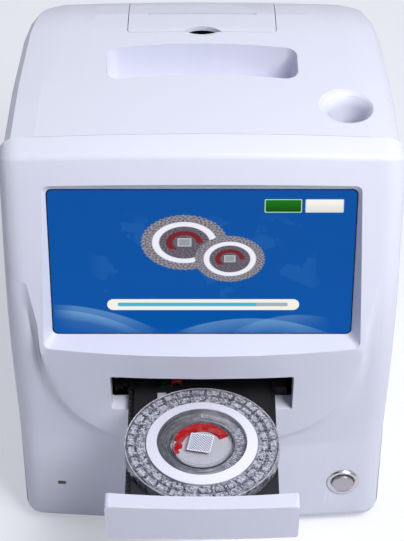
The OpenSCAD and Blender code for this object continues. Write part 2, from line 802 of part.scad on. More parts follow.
module indicator_lens() {
  y = side_y(lamp_z) + bow(lamp_x, lamp_z);
  color("#26262b") homed() translate([lamp_x, y + 0.4, lamp_z]) rotate([-90, 0, 0]) {
    rounded_plate(4.4, 2.6, wall + 1, 0.9);
    translate([0, 0, wall + 0.8]) rounded_plate(9, 7, 2, 1);
  }
}

// Printer

module at_hinge() {
  translate([0, hinge_y, hinge_z]) children();
}

module printer_lid() {
  ear_x = paper_w / 2 + 3.2;
  color("#e6e8f5") homed() difference() {
    union() {
      intersection() {
        difference() {
          rear_form(0);
          rear_form(wall);
        }
        translate([0, 0, round_z]) linear_extrude(body_h) lid_plan(0);
      }
      at_hinge() rod_x(2 * barrel_r, lid_w - 3);
      mirrored() hull() {
        translate([ear_x, platen_y, platen_z]) rod_x(platen_shaft_d + 4, 2.4);
        block([ear_x - 1.2, ear_x + 1.2], [platen_y - 7, platen_y + 7], [platen_z + 11, platen_z + 13]);
      }
    }
    at_hinge() rod_x(pin_d + 2 * running_gap, lid_w + 10);
    translate([0, platen_y, platen_z]) rod_x(platen_shaft_d + 2 * running_gap, 2 * ear_x + 10);
    block([-slit_w / 2, slit_w / 2], [slit_y - 0.7, slit_y + 0.7], [body_h - 15, body_h + eps]);
    translate([0, lid_y - 8.2, 0]) cylinder(r = 13.1, h = body_h + 5, $fn = 64);
  }
}

module lid_hinge_pin() {
  color("#c8cbd0") homed() at_hinge() rod_x(pin_d, 2 * (bay_half_w + bay_wall) - 1);
}

// The tub under the lid, with its rim against the underside of the cover
module paper_bay() {
  color("#8f939a") homed() difference() {
    intersection() {
      rear_form(wall + 0.15);
      block([-bay_half_w - bay_wall, bay_half_w + bay_wall], [bay_y0 - bay_wall, bay_y1 + bay_wall],
        [bay_floor_z - bay_wall, body_h]);
    }
    block([-bay_half_w, bay_half_w], [roll_y - roll_d / 2 - 1, bay_y1], [bay_floor_z, body_h]);
    block([-bay_half_w, bay_half_w], [bay_y0, bay_y1], [platen_z - 20, body_h]);
    block([-12, 12], [bay_y0 - bay_wall - eps, bay_y1], [platen_z + 6, body_h]);
    at_hinge() rod_x(pin_d, lid_w + 10);
  }
}

module printer_mechanism() {
  y1 = platen_y - platen_d / 2 - 0.4;
  color("#3c4148") homed() difference() {
    union() {
      block([-34, 34], [bay_y0 + 0.2, y1 - 3], [platen_z - 19.8, platen_z + 4]);
      block([-28, 28], [y1 - 3, y1], [platen_z - 6, platen_z + 3]);
      block([-34, -31], [bay_y0 + 0.2, y1 + 3], [platen_z - 19.8, platen_z - 8]);
      block([31, 34], [bay_y0 + 0.2, y1 + 3], [platen_z - 19.8, platen_z - 8]);
    }
    block([-26, 26], [bay_y0 + 2, y1 - 5], [platen_z - 17, platen_z + 5]);
  }
}

module platen_roller() {
  color("#1f2023") homed() translate([0, platen_y, platen_z]) {
    rod_x(platen_d, paper_w + 0.5);
    rod_x(platen_shaft_d, paper_w + 11);
  }
}

module paper_roll() {
  color("#f4f4f0") homed() translate([0, roll_y, roll_z]) difference() {
    rod_x(roll_d, paper_w);
    rod_x(12.5, paper_w + 2);
  }
}

// Drawer

// The drawer front follows the face of the tongue, one travel further forward
function drawer_ring(x) =
  let (
    z0 = drawer_front_z - 1,
    z1 = drawer_front_z + drawer_front_h + 1,
    thick = drawer_front_t + drawer_front_bow * pow(2 * x / slot_w, 2)
  )
  [
    [x, tongue_y(z0) + thick, z0],
    [x, tongue_y(z1) + thick, z1],
    [x, tongue_y(z1) + bow(x, z1), z1],
    [x, tongue_y(z0) + bow(x, z0), z0]
  ];

module drawer_front() {
  w = drawer_front_w / 2;
  color("#eef0fb") homed() translate([0, -drawer_travel, 0]) difference() {
    intersection() {
      skin([for (x = [-w - 1:(2 * w + 2) / 12:w + 1.01]) drawer_ring(x)]);
      translate([0, 40, drawer_front_z + drawer_front_h / 2]) rotate([90, 0, 0])
        rounded_plate(drawer_front_w, drawer_front_h, 60, 1.8);
    }
    for (x = [-24, 24]) translate([x, tray_y - 5, tray_z + tray_h / 2]) rod_y(2.6, 10);
  }
}

module tray_plan() {
  translate([-tray_w / 2 + 3, 0]) square([tray_w - 6, tray_len]);
}

module drawer_tray() {
  color("#1c1c20") homed() translate([0, tray_open_y, tray_z]) difference() {
    union() {
      block([-tray_w / 2 + 3, tray_w / 2 - 3], [0.9, tray_len], [0, tray_h]);
      block([-tray_w / 2, 0], [0.9, tray_len], [0, 1]);
      block([0, tray_w / 2], [0.9, tray_len], [0, 2.4]);
    }
    translate([0, disc_back, tray_floor_t]) cylinder(d = disc_d + 1.2, h = tray_h, $fn = 96);
    translate([0, disc_back, -eps]) cylinder(d = chuck_d + 10, h = tray_h);
    translate([0, disc_back + (disc_d - cuvette_l) / 2 - 1, -eps]) cylinder(d = 7, h = tray_h);
    for (x = [-1, 1]) block([x * 24 - 14, x * 24 + 14], [disc_back + disc_d / 2 + 5, tray_len - 3],
      [tray_floor_t, tray_h + eps]);
    for (x = [-24, 24]) translate([x, -eps, tray_h / 2]) rod_y(2.6, 6);
  }
}

// Straight teeth that face left, cut a little slimmer than half a pitch
module drawer_rack() {
  pitch = PI * tooth_m;
  root_x = rack_pitch_x + 1.15 * tooth_m;
  tip_x = rack_pitch_x - 0.75 * tooth_m;
  back_x = 3 - tray_w / 2;
  n = floor((tray_len - 3) / pitch);
  tooth = [[root_x, -0.42 * pitch], [tip_x, -0.11 * pitch], [tip_x, 0.11 * pitch], [root_x, 0.42 * pitch]];
  color("#303036") homed() translate([0, tray_open_y + pinion_phase_y, rack_z])
    linear_extrude(rack_h) polygon(concat(
      [for (i = [0:n - 1]) for (p = tooth) [p[0], p[1] + i * pitch]],
      [[back_x, (n - 0.58) * pitch], [back_x, -0.42 * pitch]]
    ));
}

// The rack starts where one of its gaps faces the pinion
pinion_phase_y = let (pitch = PI * tooth_m, d = pinion_y - tray_open_y)
  d - floor(d / pitch - 0.9) * pitch - pitch / 2;

module drive_pinion() {
  tip = pitch_r + 0.75 * tooth_m;
  root = pitch_r - 1.15 * tooth_m;
  step = 360 / pinion_teeth;
  color("#2b2b30") homed() translate([pinion_x, pinion_y, rack_z + 0.2]) difference() {
    union() {
      cylinder(r = root, h = pinion_h, $fn = 48);
      linear_extrude(pinion_h) for (i = [0:pinion_teeth - 1]) rotate(i * step) polygon([
        [root - 0.5, -0.31 * PI * tooth_m], [pitch_r, -0.2 * PI * tooth_m], [tip, -0.1 * PI * tooth_m],
        [tip, 0.1 * PI * tooth_m], [pitch_r, 0.2 * PI * tooth_m], [root - 0.5, 0.31 * PI * tooth_m]
      ]);
      translate([0, 0, -3]) cylinder(d = 7, h = 3.1);
    }
    translate([0, 0, -5]) cylinder(d = 3 + 2 * running_gap, h = 12);
  }
}

module drawer_motor() {
  color("#a8acb2") homed() translate([pinion_x, pinion_y, 0]) {
    translate([0, 0, bench_z - 9]) rounded_plate(12, 10, 9, 1);
    translate([0, 0, bench_z - 24]) intersection() {
      cylinder(d = 12, h = 15);
      translate([0, 0, 7]) cube([12, 10, 16], center = true);
    }
    translate([0, 0, bench_z]) cylinder(d = 3, h = rack_z + pinion_h - bench_z);
  }
}

// A small sensor board lies in the left pocket of the tray, behind the disc
// A small board, its wires and a spring clip lie behind the disc and show through the slot
tray_board_y = disc_back + disc_d / 2 + 6;

module tray_board() {
  color("#17352a") homed() translate([0, tray_open_y + tray_board_y, tray_z + tray_floor_t]) {
    block([-24, -10.6], [0, 15], [0, 1.2]);
    block([-22.6, -17.2], [1, 5], [1, 3.6]);
    block([-22.6, -17.2], [6.6, 9.4], [1, 3]);
  }
}

module tray_wires() {
  color("#b3201c") homed() translate([0, tray_open_y + tray_board_y, tray_z + tray_floor_t + 1.2])
    for (i = [0:2]) translate([-13.5, 1.8 + i * 1.4, 0]) rotate([90, 0, 0])
      rotate_extrude(angle = 180, $fn = small_fn) translate([2.8, 0]) circle(d = 1.1, $fn = 12);
}

module tray_clip() {
  color("#a9adb3") homed() translate([0, tray_open_y + disc_back, tray_z + tray_h])
    block([-23.6, -19], [36.7, 40.5], [0, 0.8]);
}

module drawer_rails() {
  x0 = tray_w / 2 - 1.6;
  y0 = ledge_y + 0.8;
  y1 = bench_y1 - 8;
  z0 = tray_z - rail_gap;
  lip_z = disc_z - 0.3;
  color("#2e2f34") homed() {
    difference() {
      block([x0, x0 + 8], [y0, y1], [bench_top, lip_z]);
      block([x0 - eps, tray_w / 2 + rail_gap], [y0 - eps, y1 + eps], [z0, z0 + 2.4 + 2 * rail_gap]);
    }
    difference() {
      union() {
        block([-x0 - 8, -x0], [y0, y1], [bench_top, z0]);
        block([-x0 - 8, -tray_w / 2 - rail_gap], [y0, y1], [bench_top, lip_z]);
      }
      translate([pinion_x, pinion_y, bench_top - eps]) cylinder(r = pitch_r + 3, h = 20);
    }
  }
}

// Reagent disc

module at_disc() {
  translate([0, disc_y, disc_z]) children();
}

module disc_base() {
  r = disc_d / 2;
  color("#cfe0ea", 0.5) homed() at_disc() difference() {
    cylinder(r = r, h = disc_h - disc_cover_t, $fn = 96);
    for (i = [0:cuvettes - 1]) rotate(i * 360 / cuvettes)
      block([r - 1 - cuvette_l, r - 1], [-cuvette_w / 2, cuvette_w / 2], [1.2, disc_h]);
    translate([0, 0, disc_floor_t]) difference() {
      cylinder(r = r - 1.8 - cuvette_l, h = disc_h, $fn = 96);
      translate([0, 0, -eps]) cylinder(d = chamber_d - 4, h = disc_h + 1);
    }
    translate([0, 0, -eps]) cylinder(d = chuck_d + 1.2, h = disc_floor_t - 0.4 + eps);
  }
}

// Height of the seat of the white ring at radius r
function ring_z(r) = disc_h + 0.4 + ring_rise * (ring_od / 2 - r) * 2 / (ring_od - ring_id);

module disc_cover() {
  r = disc_d / 2;
  r0 = chamber_d / 2 + 0.2;
  r1 = ring_id / 2 - 0.2;
  r2 = ring_od / 2 + 0.2;
  color("#dbe8f0", 0.5) homed() at_disc() difference() {
    rotate_extrude($fn = 96) polygon([
      [r0, disc_h - disc_cover_t], [r, disc_h - disc_cover_t], [r, disc_h - 0.4], [r - 0.4, disc_h],
      [r2 + 0.2, disc_h], [r2, ring_z(r2)], [r1, ring_z(r1)], [r1 - 0.6, disc_h - 1], [r0, disc_h - 1]
    ]);
    for (i = [0:cuvettes - 1]) rotate((i + 0.5) * 360 / cuvettes)
      block([r2 + 1, r - 1], [-0.5, 0.5], [disc_h - 1, disc_h + eps]);
  }
}

module disc_ring_label() {
  color("#f7f7f9") homed() at_disc() rotate_extrude($fn = 96)
    polygon([for (p = [[ring_od, 0], [ring_od, 0.3], [ring_id, 0.3], [ring_id, 0]]) [p[0] / 2, ring_z(p[0] / 2) + p[1]]]);
}

chamber_wall = 1.2;

module disc_chamber() {
  r = chamber_d / 2;
  top = disc_h + chamber_rise;
  floor_z = disc_h - disc_cover_t;
  color("#d3e4ee", 0.5) homed() at_disc() rotate_extrude($fn = 64) polygon([
    [0, floor_z], [3, floor_z], [3, top - chamber_wall], [r - chamber_wall, top - chamber_wall],
    [r - chamber_wall, disc_floor_t], [r, disc_floor_t], [r, top - 1], [r - 1, top], [0, top]
  ]);
}

// The drawn sample lies as an arc in the middle chamber and ends in a small pool with a tail
module disc_sample() {
  out = chamber_d / 2 - chamber_wall - 0.3;
  t = disc_cover_t - chamber_wall;
  color("#b01218") homed() at_disc() translate([0, 0, disc_h - disc_cover_t]) {
    rotate(27) rotate_extrude(angle = 138, $fn = 96) translate([out - 5, 0]) square([5, t]);
    rotate(162) rotate_extrude(angle = 16, $fn = 96) translate([out - 4.4, 0]) square([2.4, t]);
    rotate(181) translate([out - 3.2, 0, 0]) cylinder(r = 2, h = t, $fn = small_fn);
    rotate(185) rotate_extrude(angle = 18, $fn = 96) translate([out - 2.6, 0]) square([2.6, t]);
  }
}

module disc_code_label() {
  color("#f4f4f6") homed() at_disc() translate([-0.7, 0, disc_h + chamber_rise]) rotate(-11)
    rounded_plate(code_side, code_side, 0.3, 0.5);
}

// Works

module optical_bench() {
  color("#3b3e44") homed() difference() {
    translate([0, (bench_y0 + bench_y1) / 2, bench_z])
      rounded_plate(2 * bench_half_w, bench_y1 - bench_y0, bench_t, 3);
    translate([0, seat_y, bench_z - eps]) cylinder(d = chuck_d + 2, h = bench_t + 1);
    translate([0, read_y, bench_z - eps]) cylinder(d = 6, h = bench_t + 1);
    translate([pinion_x, pinion_y, bench_z - eps]) cylinder(d = 8, h = bench_t + 1);
    mirrored() for (y = post_y) translate([post_x, y, bench_z - eps]) cylinder(d = 3.4, h = bench_t + 1);
    for (x = [-24, 24]) block([x - 12, x + 12], [seat_y - 12, seat_y + 12], [bench_top - 2, bench_top + eps]);
  }
}

module bench_posts() {
  color("#c9c2a4") homed() mirrored() for (y = post_y) translate([post_x, y, plate_top]) {
    cylinder(d = post_d, h = bench_z - plate_top, $fn = 6);
    cylinder(d = 3.2, h = bench_top - plate_top);
    translate([0, 0, bench_top - plate_top]) cylinder(d = 5.8, h = 2);
  }
}

module chamber_cover() {
  w = bench_half_w - 1;
  color("#202226") homed() difference() {
    block([-w, w], [bench_y0 + 0.4, bench_y1 - 1], [bench_top, chamber_top + chamber_t]);
    block([-w + chamber_t, w - chamber_t], [bench_y0 - eps, bench_y1 - 1 - chamber_t], [bench_top - eps, chamber_top]);
    translate([0, read_y, chamber_top - eps]) cylinder(d = 10.2, h = 5);
  }
}

module heater_plate() {
  color("#b3a184") homed() difference() {
    block([-44, 44], [bench_y0 + 4, read_y + 12], [chamber_top - heater_t, chamber_top]);
    translate([0, read_y, 0]) cylinder(d = 10.2, h = body_h);
  }
}

module lamp_housing() {
  z0 = chamber_top + chamber_t;
  color("#4a4e55") homed() translate([0, read_y, z0]) difference() {
    union() {
      rounded_plate(34, 26, 4, 2);
      cylinder(d = 22, h = 26);
      for (i = [0:3]) translate([0, 0, 7 + i * 5]) cylinder(d = 28, h = 2);
    }
    translate([0, 0, -eps]) cylinder(d = 10.2, h = 6);
    translate([0, 0, 5]) cylinder(d = 16, h = 17);
  }
}

module lamp_lens() {
  color("#cfe3f2", 0.6) homed() translate([0, read_y, chamber_top - heater_t]) rotate_extrude($fn = 48)
    polygon([[0, 0], [5, 0.6], [5, heater_t + chamber_t + 3], [0, heater_t + chamber_t + 4]]);
}

module detector_housing() {
  color("#2f3237") homed() difference() {
    block([-18, 18], [read_y - 13, read_y + 13], [bench_z - 22, bench_z]);
    translate([0, read_y, bench_z - 18]) cylinder(d = 6, h = 30);
    block([-14, 14], [read_y - 10, read_y + 10], [bench_z - 19, bench_z - 6]);
  }
}

module detector_board() {
  color("#2e6b3d") homed() {
    block([-20, 20], [read_y - 14, read_y + 14], [bench_z - 22 - board_t, bench_z - 22]);
    block([-6, 6], [read_y - 6, read_y + 6], [bench_z - 25 - board_t, bench_z - 22 - board_t]);
  }
}

// Heights of the lifting spindle at rest, with the chuck just below the tray
chuck_top = tray_z - 1.3;
motor_top = bench_z - 20;

module spindle_chuck() {
  color("#caccd1") homed() translate([0, seat_y, 0]) {
    translate([0, 0, motor_top - 11]) cylinder(d = 5, h = bench_top - motor_top + 11.5);
    translate([0, 0, bench_top + 0.3]) cylinder(d = chuck_d, h = chuck_top - bench_top - 1.3);
    translate([0, 0, chuck_top - 1.1]) cylinder(d1 = chuck_d, d2 = chuck_d - 2, h = 1);
  }
}

module spindle_motor() {
  color("#8d9299") homed() translate([0, seat_y, motor_top - 22]) difference() {
    union() {
      cylinder(d = 26, h = 19);
      cylinder(d = 10, h = 22);
    }
    translate([0, 0, 10]) cylinder(d = 5 + 2 * running_gap, h = 14);
  }
}

rod_x_off = 20;

module lift_carriage() {
  color("#b7bbc1") homed() translate([0, seat_y, motor_top - 3]) difference() {
    union() {
      rounded_plate(54, 24, 3, 3);
      mirrored() translate([rod_x_off, 0, -6]) cylinder(d = 9, h = 9);
    }
    translate([0, 0, -eps]) cylinder(d = 10.4, h = 5);
    mirrored() translate([rod_x_off, 0, -8]) cylinder(d = 4 + 2 * running_gap, h = 14);
  }
}

module lift_rods() {
  color("#d0d3d8") homed() translate([0, seat_y, 0]) mirrored()
    translate([rod_x_off, 0, motor_top - 28]) cylinder(d = 4, h = bench_z - motor_top + 28);
}

module lift_bracket() {
  z0 = motor_top - 30;
  color("#9a9fa6") homed() translate([0, seat_y, 0]) difference() {
    union() {
      block([-31, 31], [-12, 12], [z0, z0 + 2]);
      block([-31, -29], [-12, 12], [z0, bench_z]);
      block([29, 31], [-12, 12], [z0, bench_z]);
    }
    mirrored() translate([rod_x_off, 0, z0 + 1]) cylinder(d = 4, h = 3);
    translate([0, 0, z0 - eps]) cylinder(d = 4, h = 4);
  }
}

module lift_actuator() {
  z0 = motor_top - 30;
  color("#75797f") homed() translate([0, seat_y, z0]) {
    translate([0, 0, 2]) cylinder(d = 15, h = 5);
    cylinder(d = 3, h = 7.7);
  }
}

// Electronics

// Each port as [middle, bottom height, width, height]
port_list = [
  [board_x0 + 18, port_z, 14.6, 14], [board_x0 + 36.5, port_z, 16, 13.6], [board_x0 + 63.5, port_z, 31, 12.6]
];

module port_body(p, len_y) {
  difference() {
    block([p[0] - p[2] / 2, p[0] + p[2] / 2], [body_d - 0.3 - len_y, body_d - 0.3], [p[1], p[1] + p[3]]);
    children();
  }
}

port_len = body_d - 0.3 - board_y - board_t;

module mainboard() {
  color("#1f5a36") homed() difference() {
    union() {
      block([board_x0, board_x0 + board_w], [board_y, board_y + board_t], [board_z0, board_z0 + board_h]);
      translate([board_x0, board_y, board_z0]) {
        for (c = [[28, 84, 18], [56, 80, 14], [26, 44, 12], [58, 40, 16]]) translate([c[0], 0, c[1]])
          block([-c[2] / 2, c[2] / 2], [-2, eps], [-c[2] / 2, c[2] / 2]);
        for (i = [0:2]) block([4, 12], [-7, eps], [54 + i * 20, 68 + i * 20]);
        for (i = [0:4]) block([21 + i * 3, 22 + i * 3], [-9, eps], [76, 92]);
      }
    }
    for (s = spacer_spots) translate([s[0], board_y - eps, s[1]]) rod_y(3.2, 5);
  }
}

spacer_spots = [[board_x0 + 12, 44], [board_x0 + board_w - 8, 44],
  [board_x0 + 12, board_z0 + board_h - 8], [board_x0 + board_w - 8, board_z0 + board_h - 8]];

module board_spacers() {
  color("#c9c2a4") homed() for (s = spacer_spots) translate([s[0], board_y - 1.6, s[1]]) {
    rod_y(3, 6);
    rod_y(5.4, 1.6);
    translate([0, 1.6 + board_t, 0]) rod_y(6, rear_in_y - board_y - board_t);
  }
}

module usb_ports() {
  p = port_list[0];
  color("#b9bdc3") homed() port_body(p, port_len) for (z = [1, 7.6])
    block([p[0] - 6.2, p[0] + 6.2], [body_d - 14, body_d], [p[1] + z, p[1] + z + 5.2]);
}

module lan_port() {
  p = port_list[1];
  color("#aeb2b8") homed() port_body(p, port_len)
    block([p[0] - 6, p[0] + 6], [body_d - 14, body_d], [p[1] + 2, p[1] + 9.6]);
}

module serial_port() {
  p = port_list[2];
  color("#a7abb1") homed() port_body(p, port_len) {
    translate([p[0], body_d - 5, p[1] + p[3] / 2]) rotate([-90, 0, 0]) rounded_plate(18, 9, 6, 2);
    for (x = [-12.5, 12.5]) translate([p[0] + x, body_d - 5, p[1] + p[3] / 2]) rod_y(3, 6);
  }
}

module power_supply() {
  x = post_x - post_d / 2 - 1.5;
  z0 = plate_top;
  color("#b5b9be") homed() difference() {
    block([-x, x], [82, 134], [z0, z0 + 30]);
    for (i = [-4:4]) translate([i * 10, 108, z0 + 25]) rounded_plate(4, 36, 10, 1.8);
    for (i = [-1:1]) block([x - 1, x + eps], [104 + i * 12, 110 + i * 12], [z0 + 6, z0 + 22]);
  }
}

module power_inlet() {
  color("#232427") homed() translate([inlet_x, body_d, inlet_z]) {
    difference() {
      union() {
        block([-13.5, 13.5], [-24, -0.2], [-9.9, 9.9]);
        block([-16, 16], [-wall - 2.2, -wall - 0.1], [-12, 12]);
      }
      translate([0, -17, 0]) rotate([-90, 0, 0]) linear_extrude(18) polygon([
        [-12, 5.6], [-12, -3], [-8, -7.6], [8, -7.6], [12, -3], [12, 5.6]
      ]);
    }
    for (p = [[-7, -2], [7, -2], [0, 2.4]]) translate([p[0], -17.5, -p[1]]) rod_y(2, 10);
  }
}

module fan_frame() {
  y0 = rear_in_y - fan_t - 0.2;
  color("#2c2d31") homed() translate([fan_x, y0, fan_z]) difference() {
    rotate([-90, 0, 0]) rounded_plate(fan_side, fan_side, fan_t, 3);
    difference() {
      translate([0, -eps, 0]) rod_y(fan_side - 4, fan_t + 2 * eps);
      translate([0, fan_t - 3, 0]) rod_y(fan_side * 0.42, 4);
      for (a = [45:90:315]) rotate([0, a, 0]) block([-1.6, 1.6], [fan_t - 3, fan_t], [0, fan_side]);
    }
    for (x = [-1, 1], z = [-1, 1]) translate([x * (fan_side / 2 - 5), -eps, z * (fan_side / 2 - 5)])
      rod_y(4.2, fan_t + 1);
    translate([0, 4, 0]) rod_y(4, fan_t);
  }
}

module fan_rotor() {
  y0 = rear_in_y - fan_t - 0.2;
  hub = fan_side * 0.4;
  color("#3a3b40") homed() translate([fan_x, y0 + 0.8, fan_z]) {
    difference() {
      rod_y(hub, fan_t - 4.4);
      translate([0, fan_t - 8, 0]) rod_y(6, 6);
    }
    translate([0, fan_t - 9, 0]) rod_y(4 - 2 * running_gap, 7);
    for (i = [0:fan_blades - 1]) rotate([0, i * 360 / fan_blades, 0])
      translate([hub / 2 - 0.6, (fan_t - 4.4) / 2, 0]) rotate([38, 0, 0])
        block([0, fan_side / 2 - hub / 2 - 3], [-0.5, 0.5], [-6, 6]);
  }
}

module speaker() {
  color("#37393e") homed() translate([-(half_w - 28), 110, plate_top]) difference() {
    union() {
      cylinder(d = 30, h = 3);
      cylinder(d1 = 28, d2 = 16, h = 7);
      cylinder(d = 14, h = 10);
    }
    translate([0, 0, -eps]) cylinder(d1 = 26, d2 = 10, h = 4);
  }
}

front_panel();
rear_cover();
well_liner();
base_plate();
rubber_feet();
housing_screws();
touch_glass();
display_panel();
display_bracket();
display_screws();
power_button_ring();
power_button_nut();
power_button_cap();
indicator_lens();
printer_lid();
lid_hinge_pin();
paper_bay();
printer_mechanism();
platen_roller();
paper_roll();
drawer_front();
drawer_tray();
drawer_rack();
drawer_rails();
drive_pinion();
drawer_motor();
disc_base();
disc_cover();
disc_ring_label();
disc_chamber();
disc_sample();
disc_code_label();
optical_bench();
bench_posts();
chamber_cover();
heater_plate();
lamp_housing();
lamp_lens();
detector_housing();
detector_board();
spindle_chuck();
spindle_motor();
lift_carriage();
lift_rods();
lift_actuator();
lift_bracket();
mainboard();
board_spacers();
usb_ports();
lan_port();
serial_port();
power_supply();
power_inlet();
fan_frame();
fan_rotor();
speaker();
tray_board();
tray_wires();
tray_clip();
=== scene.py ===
"""Looks of the benchtop chemistry analyzer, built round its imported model."""

import math

import bmesh
import bpy
from bpy.props import (
    FloatProperty,
    FloatVectorProperty,
    IntProperty,
    PointerProperty,
)
from mathutils import Euler, Matrix, Vector


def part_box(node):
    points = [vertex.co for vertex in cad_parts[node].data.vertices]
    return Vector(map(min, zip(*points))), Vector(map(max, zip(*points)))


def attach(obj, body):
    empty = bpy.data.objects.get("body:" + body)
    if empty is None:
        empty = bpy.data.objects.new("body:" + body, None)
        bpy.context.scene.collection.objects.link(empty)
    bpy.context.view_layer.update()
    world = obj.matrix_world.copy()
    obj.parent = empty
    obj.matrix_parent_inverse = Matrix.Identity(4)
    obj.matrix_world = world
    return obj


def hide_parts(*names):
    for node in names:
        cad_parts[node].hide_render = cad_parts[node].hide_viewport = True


bl_info = {
    "name": "Benchtop Analyzer Looks",
    "version": (1, 0, 0),
    "blender": (4, 5, 0),
    "location": "View3D > Sidebar > Analyzer",
    "description": "Finishes, screen picture and disc detail of a benchtop chemistry analyzer",
    "category": "Object",
}

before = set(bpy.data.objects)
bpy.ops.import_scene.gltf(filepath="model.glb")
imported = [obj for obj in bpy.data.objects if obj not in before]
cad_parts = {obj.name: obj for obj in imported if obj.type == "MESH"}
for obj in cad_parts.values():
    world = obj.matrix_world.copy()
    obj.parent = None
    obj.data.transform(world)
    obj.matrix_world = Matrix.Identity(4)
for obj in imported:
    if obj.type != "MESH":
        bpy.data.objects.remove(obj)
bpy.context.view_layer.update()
# Lean of the screen off upright
TILT = math.radians(9.2)
# The disc's cover stands this far over its base
RIM_OVER_BASE = 0.0022
# Radii between which the disc's plastic changes: round the hub, at the cells and at the wall
HUB_EDGE = (0.0163, 0.0169)
CELL_BAND = (0.0293, 0.0384)
WALL_EDGE = (0.0384, 0.0388)
# Refraction of the clear plastic, and near enough of the lens
CLEAR_IOR = 1.49
WHITE = (1.0, 1.0, 1.0, 1.0)
# Noise scales of lines brushed along one axis, and of metal without a direction
ALONG_X = (60.0, 2500.0, 2500.0)
ALONG_Y = (2500.0, 60.0, 2500.0)
ALONG_Z = (2500.0, 2500.0, 60.0)
EVEN = (900.0, 900.0, 900.0)
# The camera that was fitted to the photograph
CAMERA_PLACE = (0.0, -0.72709, 0.792)
CAMERA_PITCH = math.radians(48.7)
CAMERA_LENS = 119.8
CAMERA_SENSOR = 36.0
# Glow of the floor and of the world for camera_rays alone, and the world's light for all rays
FLOOR_GLOW = 0.44
WORLD_GLOW = 0.36
WORLD_LIGHT = 0.28
# Sockets that a surface group gives out
SURFACE_OUTPUTS = {
    "Colour": "NodeSocketColor", "Roughness": "NodeSocketFloat", "Height": "NodeSocketFloat",
}


def linear(r, g, b):
    """A colour given as 0 to 255 display values, as linear light."""
    def one(c):
        c /= 255
        return c / 12.92 if c <= 0.04045 else ((c + 0.055) / 1.055) ** 2.4
    return (one(r), one(g), one(b))


def rgba(colour):
    return (*colour[:3], 1.0)


def tint(r, g, b):
    return rgba(linear(r, g, b))


# Shader trees


class Tree:
    """Short calls that add linked nodes to a shader or geometry tree."""

    def __init__(self, tree):
        self.tree = tree
        self.nodes = tree.nodes

    def put(self, socket, value):
        if isinstance(value, bpy.types.NodeSocket):
            self.tree.links.new(value, socket)
        elif value is not None:
            socket.default_value = value

    def add(self, kind, inputs=(), out=0, **settings):
        node = self.nodes.new(kind)
        for key, value in settings.items():
            setattr(node, key, value)
        pairs = inputs.items() if isinstance(inputs, dict) else enumerate(inputs)
        for key, value in pairs:
            self.put(node.inputs[key], value)
        return node if out is None else node.outputs[out]

    def math(self, op, a, b=None, c=None, clamp=False):
        return self.add("ShaderNodeMath", [a, b, c], operation=op, use_clamp=clamp)

    def times(self, a, b):
        return self.math("MULTIPLY", a, b)

    def vector(self, op, a, b=None, out=0):
        return self.add("ShaderNodeVectorMath", [a, b], out=out, operation=op)

    def mix(self, factor, a, b, blend="MIX"):
        node = self.add("ShaderNodeMix", out=None, data_type="RGBA", blend_type=blend)
        self.put(node.inputs[0], factor)
        self.put(node.inputs[6], a)
        self.put(node.inputs[7], b)
        return node.outputs[2]

    def grey(self, value):
        return self.add("ShaderNodeCombineColor", [value, value, value])

    def join(self, x, y, z):
        return self.add("ShaderNodeCombineXYZ", [x, y, z])

    def split(self, vector):
        return self.add("ShaderNodeSeparateXYZ", [vector], out=None).outputs

    def place(self):
        """Object coordinates, in metres."""
        return self.add("ShaderNodeTexCoord", out=3)

    def ends(self):
        """The sockets that come into a node group and those that leave it."""
        given = self.add("NodeGroupInput", out=None).outputs
        return given, self.add("NodeGroupOutput", out=None).inputs

    def ramp(self, value, low, high, to_low=0.0, to_high=1.0):
        return self.add("ShaderNodeMapRange", [value, low, high, to_low, to_high])

    def noise(self, where, scale, detail=2.0, roughness=0.5):
        return self.add(
            "ShaderNodeTexNoise",
            {"Vector": where, "Scale": scale, "Detail": detail, "Roughness": roughness},
        )


def new_group(name, inputs, outputs):
    """An empty shader node group with its named sockets, and the two ends of it."""
    group = bpy.data.node_groups.new(name, "ShaderNodeTree")
    kinds = {float: "NodeSocketFloat", tuple: "NodeSocketColor", Vector: "NodeSocketVector"}
    for label, value in inputs.items():
        kind = kinds[type(value)]
        socket = group.interface.new_socket(label, in_out="INPUT", socket_type=kind)
        socket.default_value = tuple(value) if isinstance(value, Vector) else value
    for label, kind in outputs.items():
        group.interface.new_socket(label, in_out="OUTPUT", socket_type=kind)
    tree = Tree(group)
    return tree, *tree.ends()


def moulded_group():
    """Moulded plastic: a spark-eroded grain, faint flow shading and handling marks."""
    tree, at, to = new_group(
        "moulded_surface",
        {
            "Colour": (0.8, 0.8, 0.8, 1.0), "Grain": 2500.0, "Shading": 0.03,
            "Roughness": 0.4, "Marks": 0.05,
        },
        SURFACE_OUTPUTS,
    )
    where = tree.place()
    flow = tree.noise(where, 9.0, 3.0)
    grain = tree.noise(where, at["Grain"], 2.0, 0.6)
    smear = tree.noise(tree.vector("MULTIPLY", where, (30.0, 90.0, 45.0)), 1.0, 4.0, 0.65)
    shade = tree.math("MULTIPLY_ADD", tree.math("SUBTRACT", flow, 0.5), at["Shading"], 1.0)
    colour = tree.mix(1.0, at["Colour"], tree.grey(shade), "MULTIPLY")
    speck = tree.times(tree.ramp(grain, 0.66, 0.8), 0.06)
    tree.put(to["Colour"], tree.mix(speck, colour, (0.5, 0.5, 0.55, 1.0)))
    marks = tree.times(tree.ramp(smear, 0.5, 0.75), at["Marks"])
    tree.put(to["Roughness"], tree.math("ADD", at["Roughness"], marks))
    tree.put(to["Height"], grain)
    return tree.tree


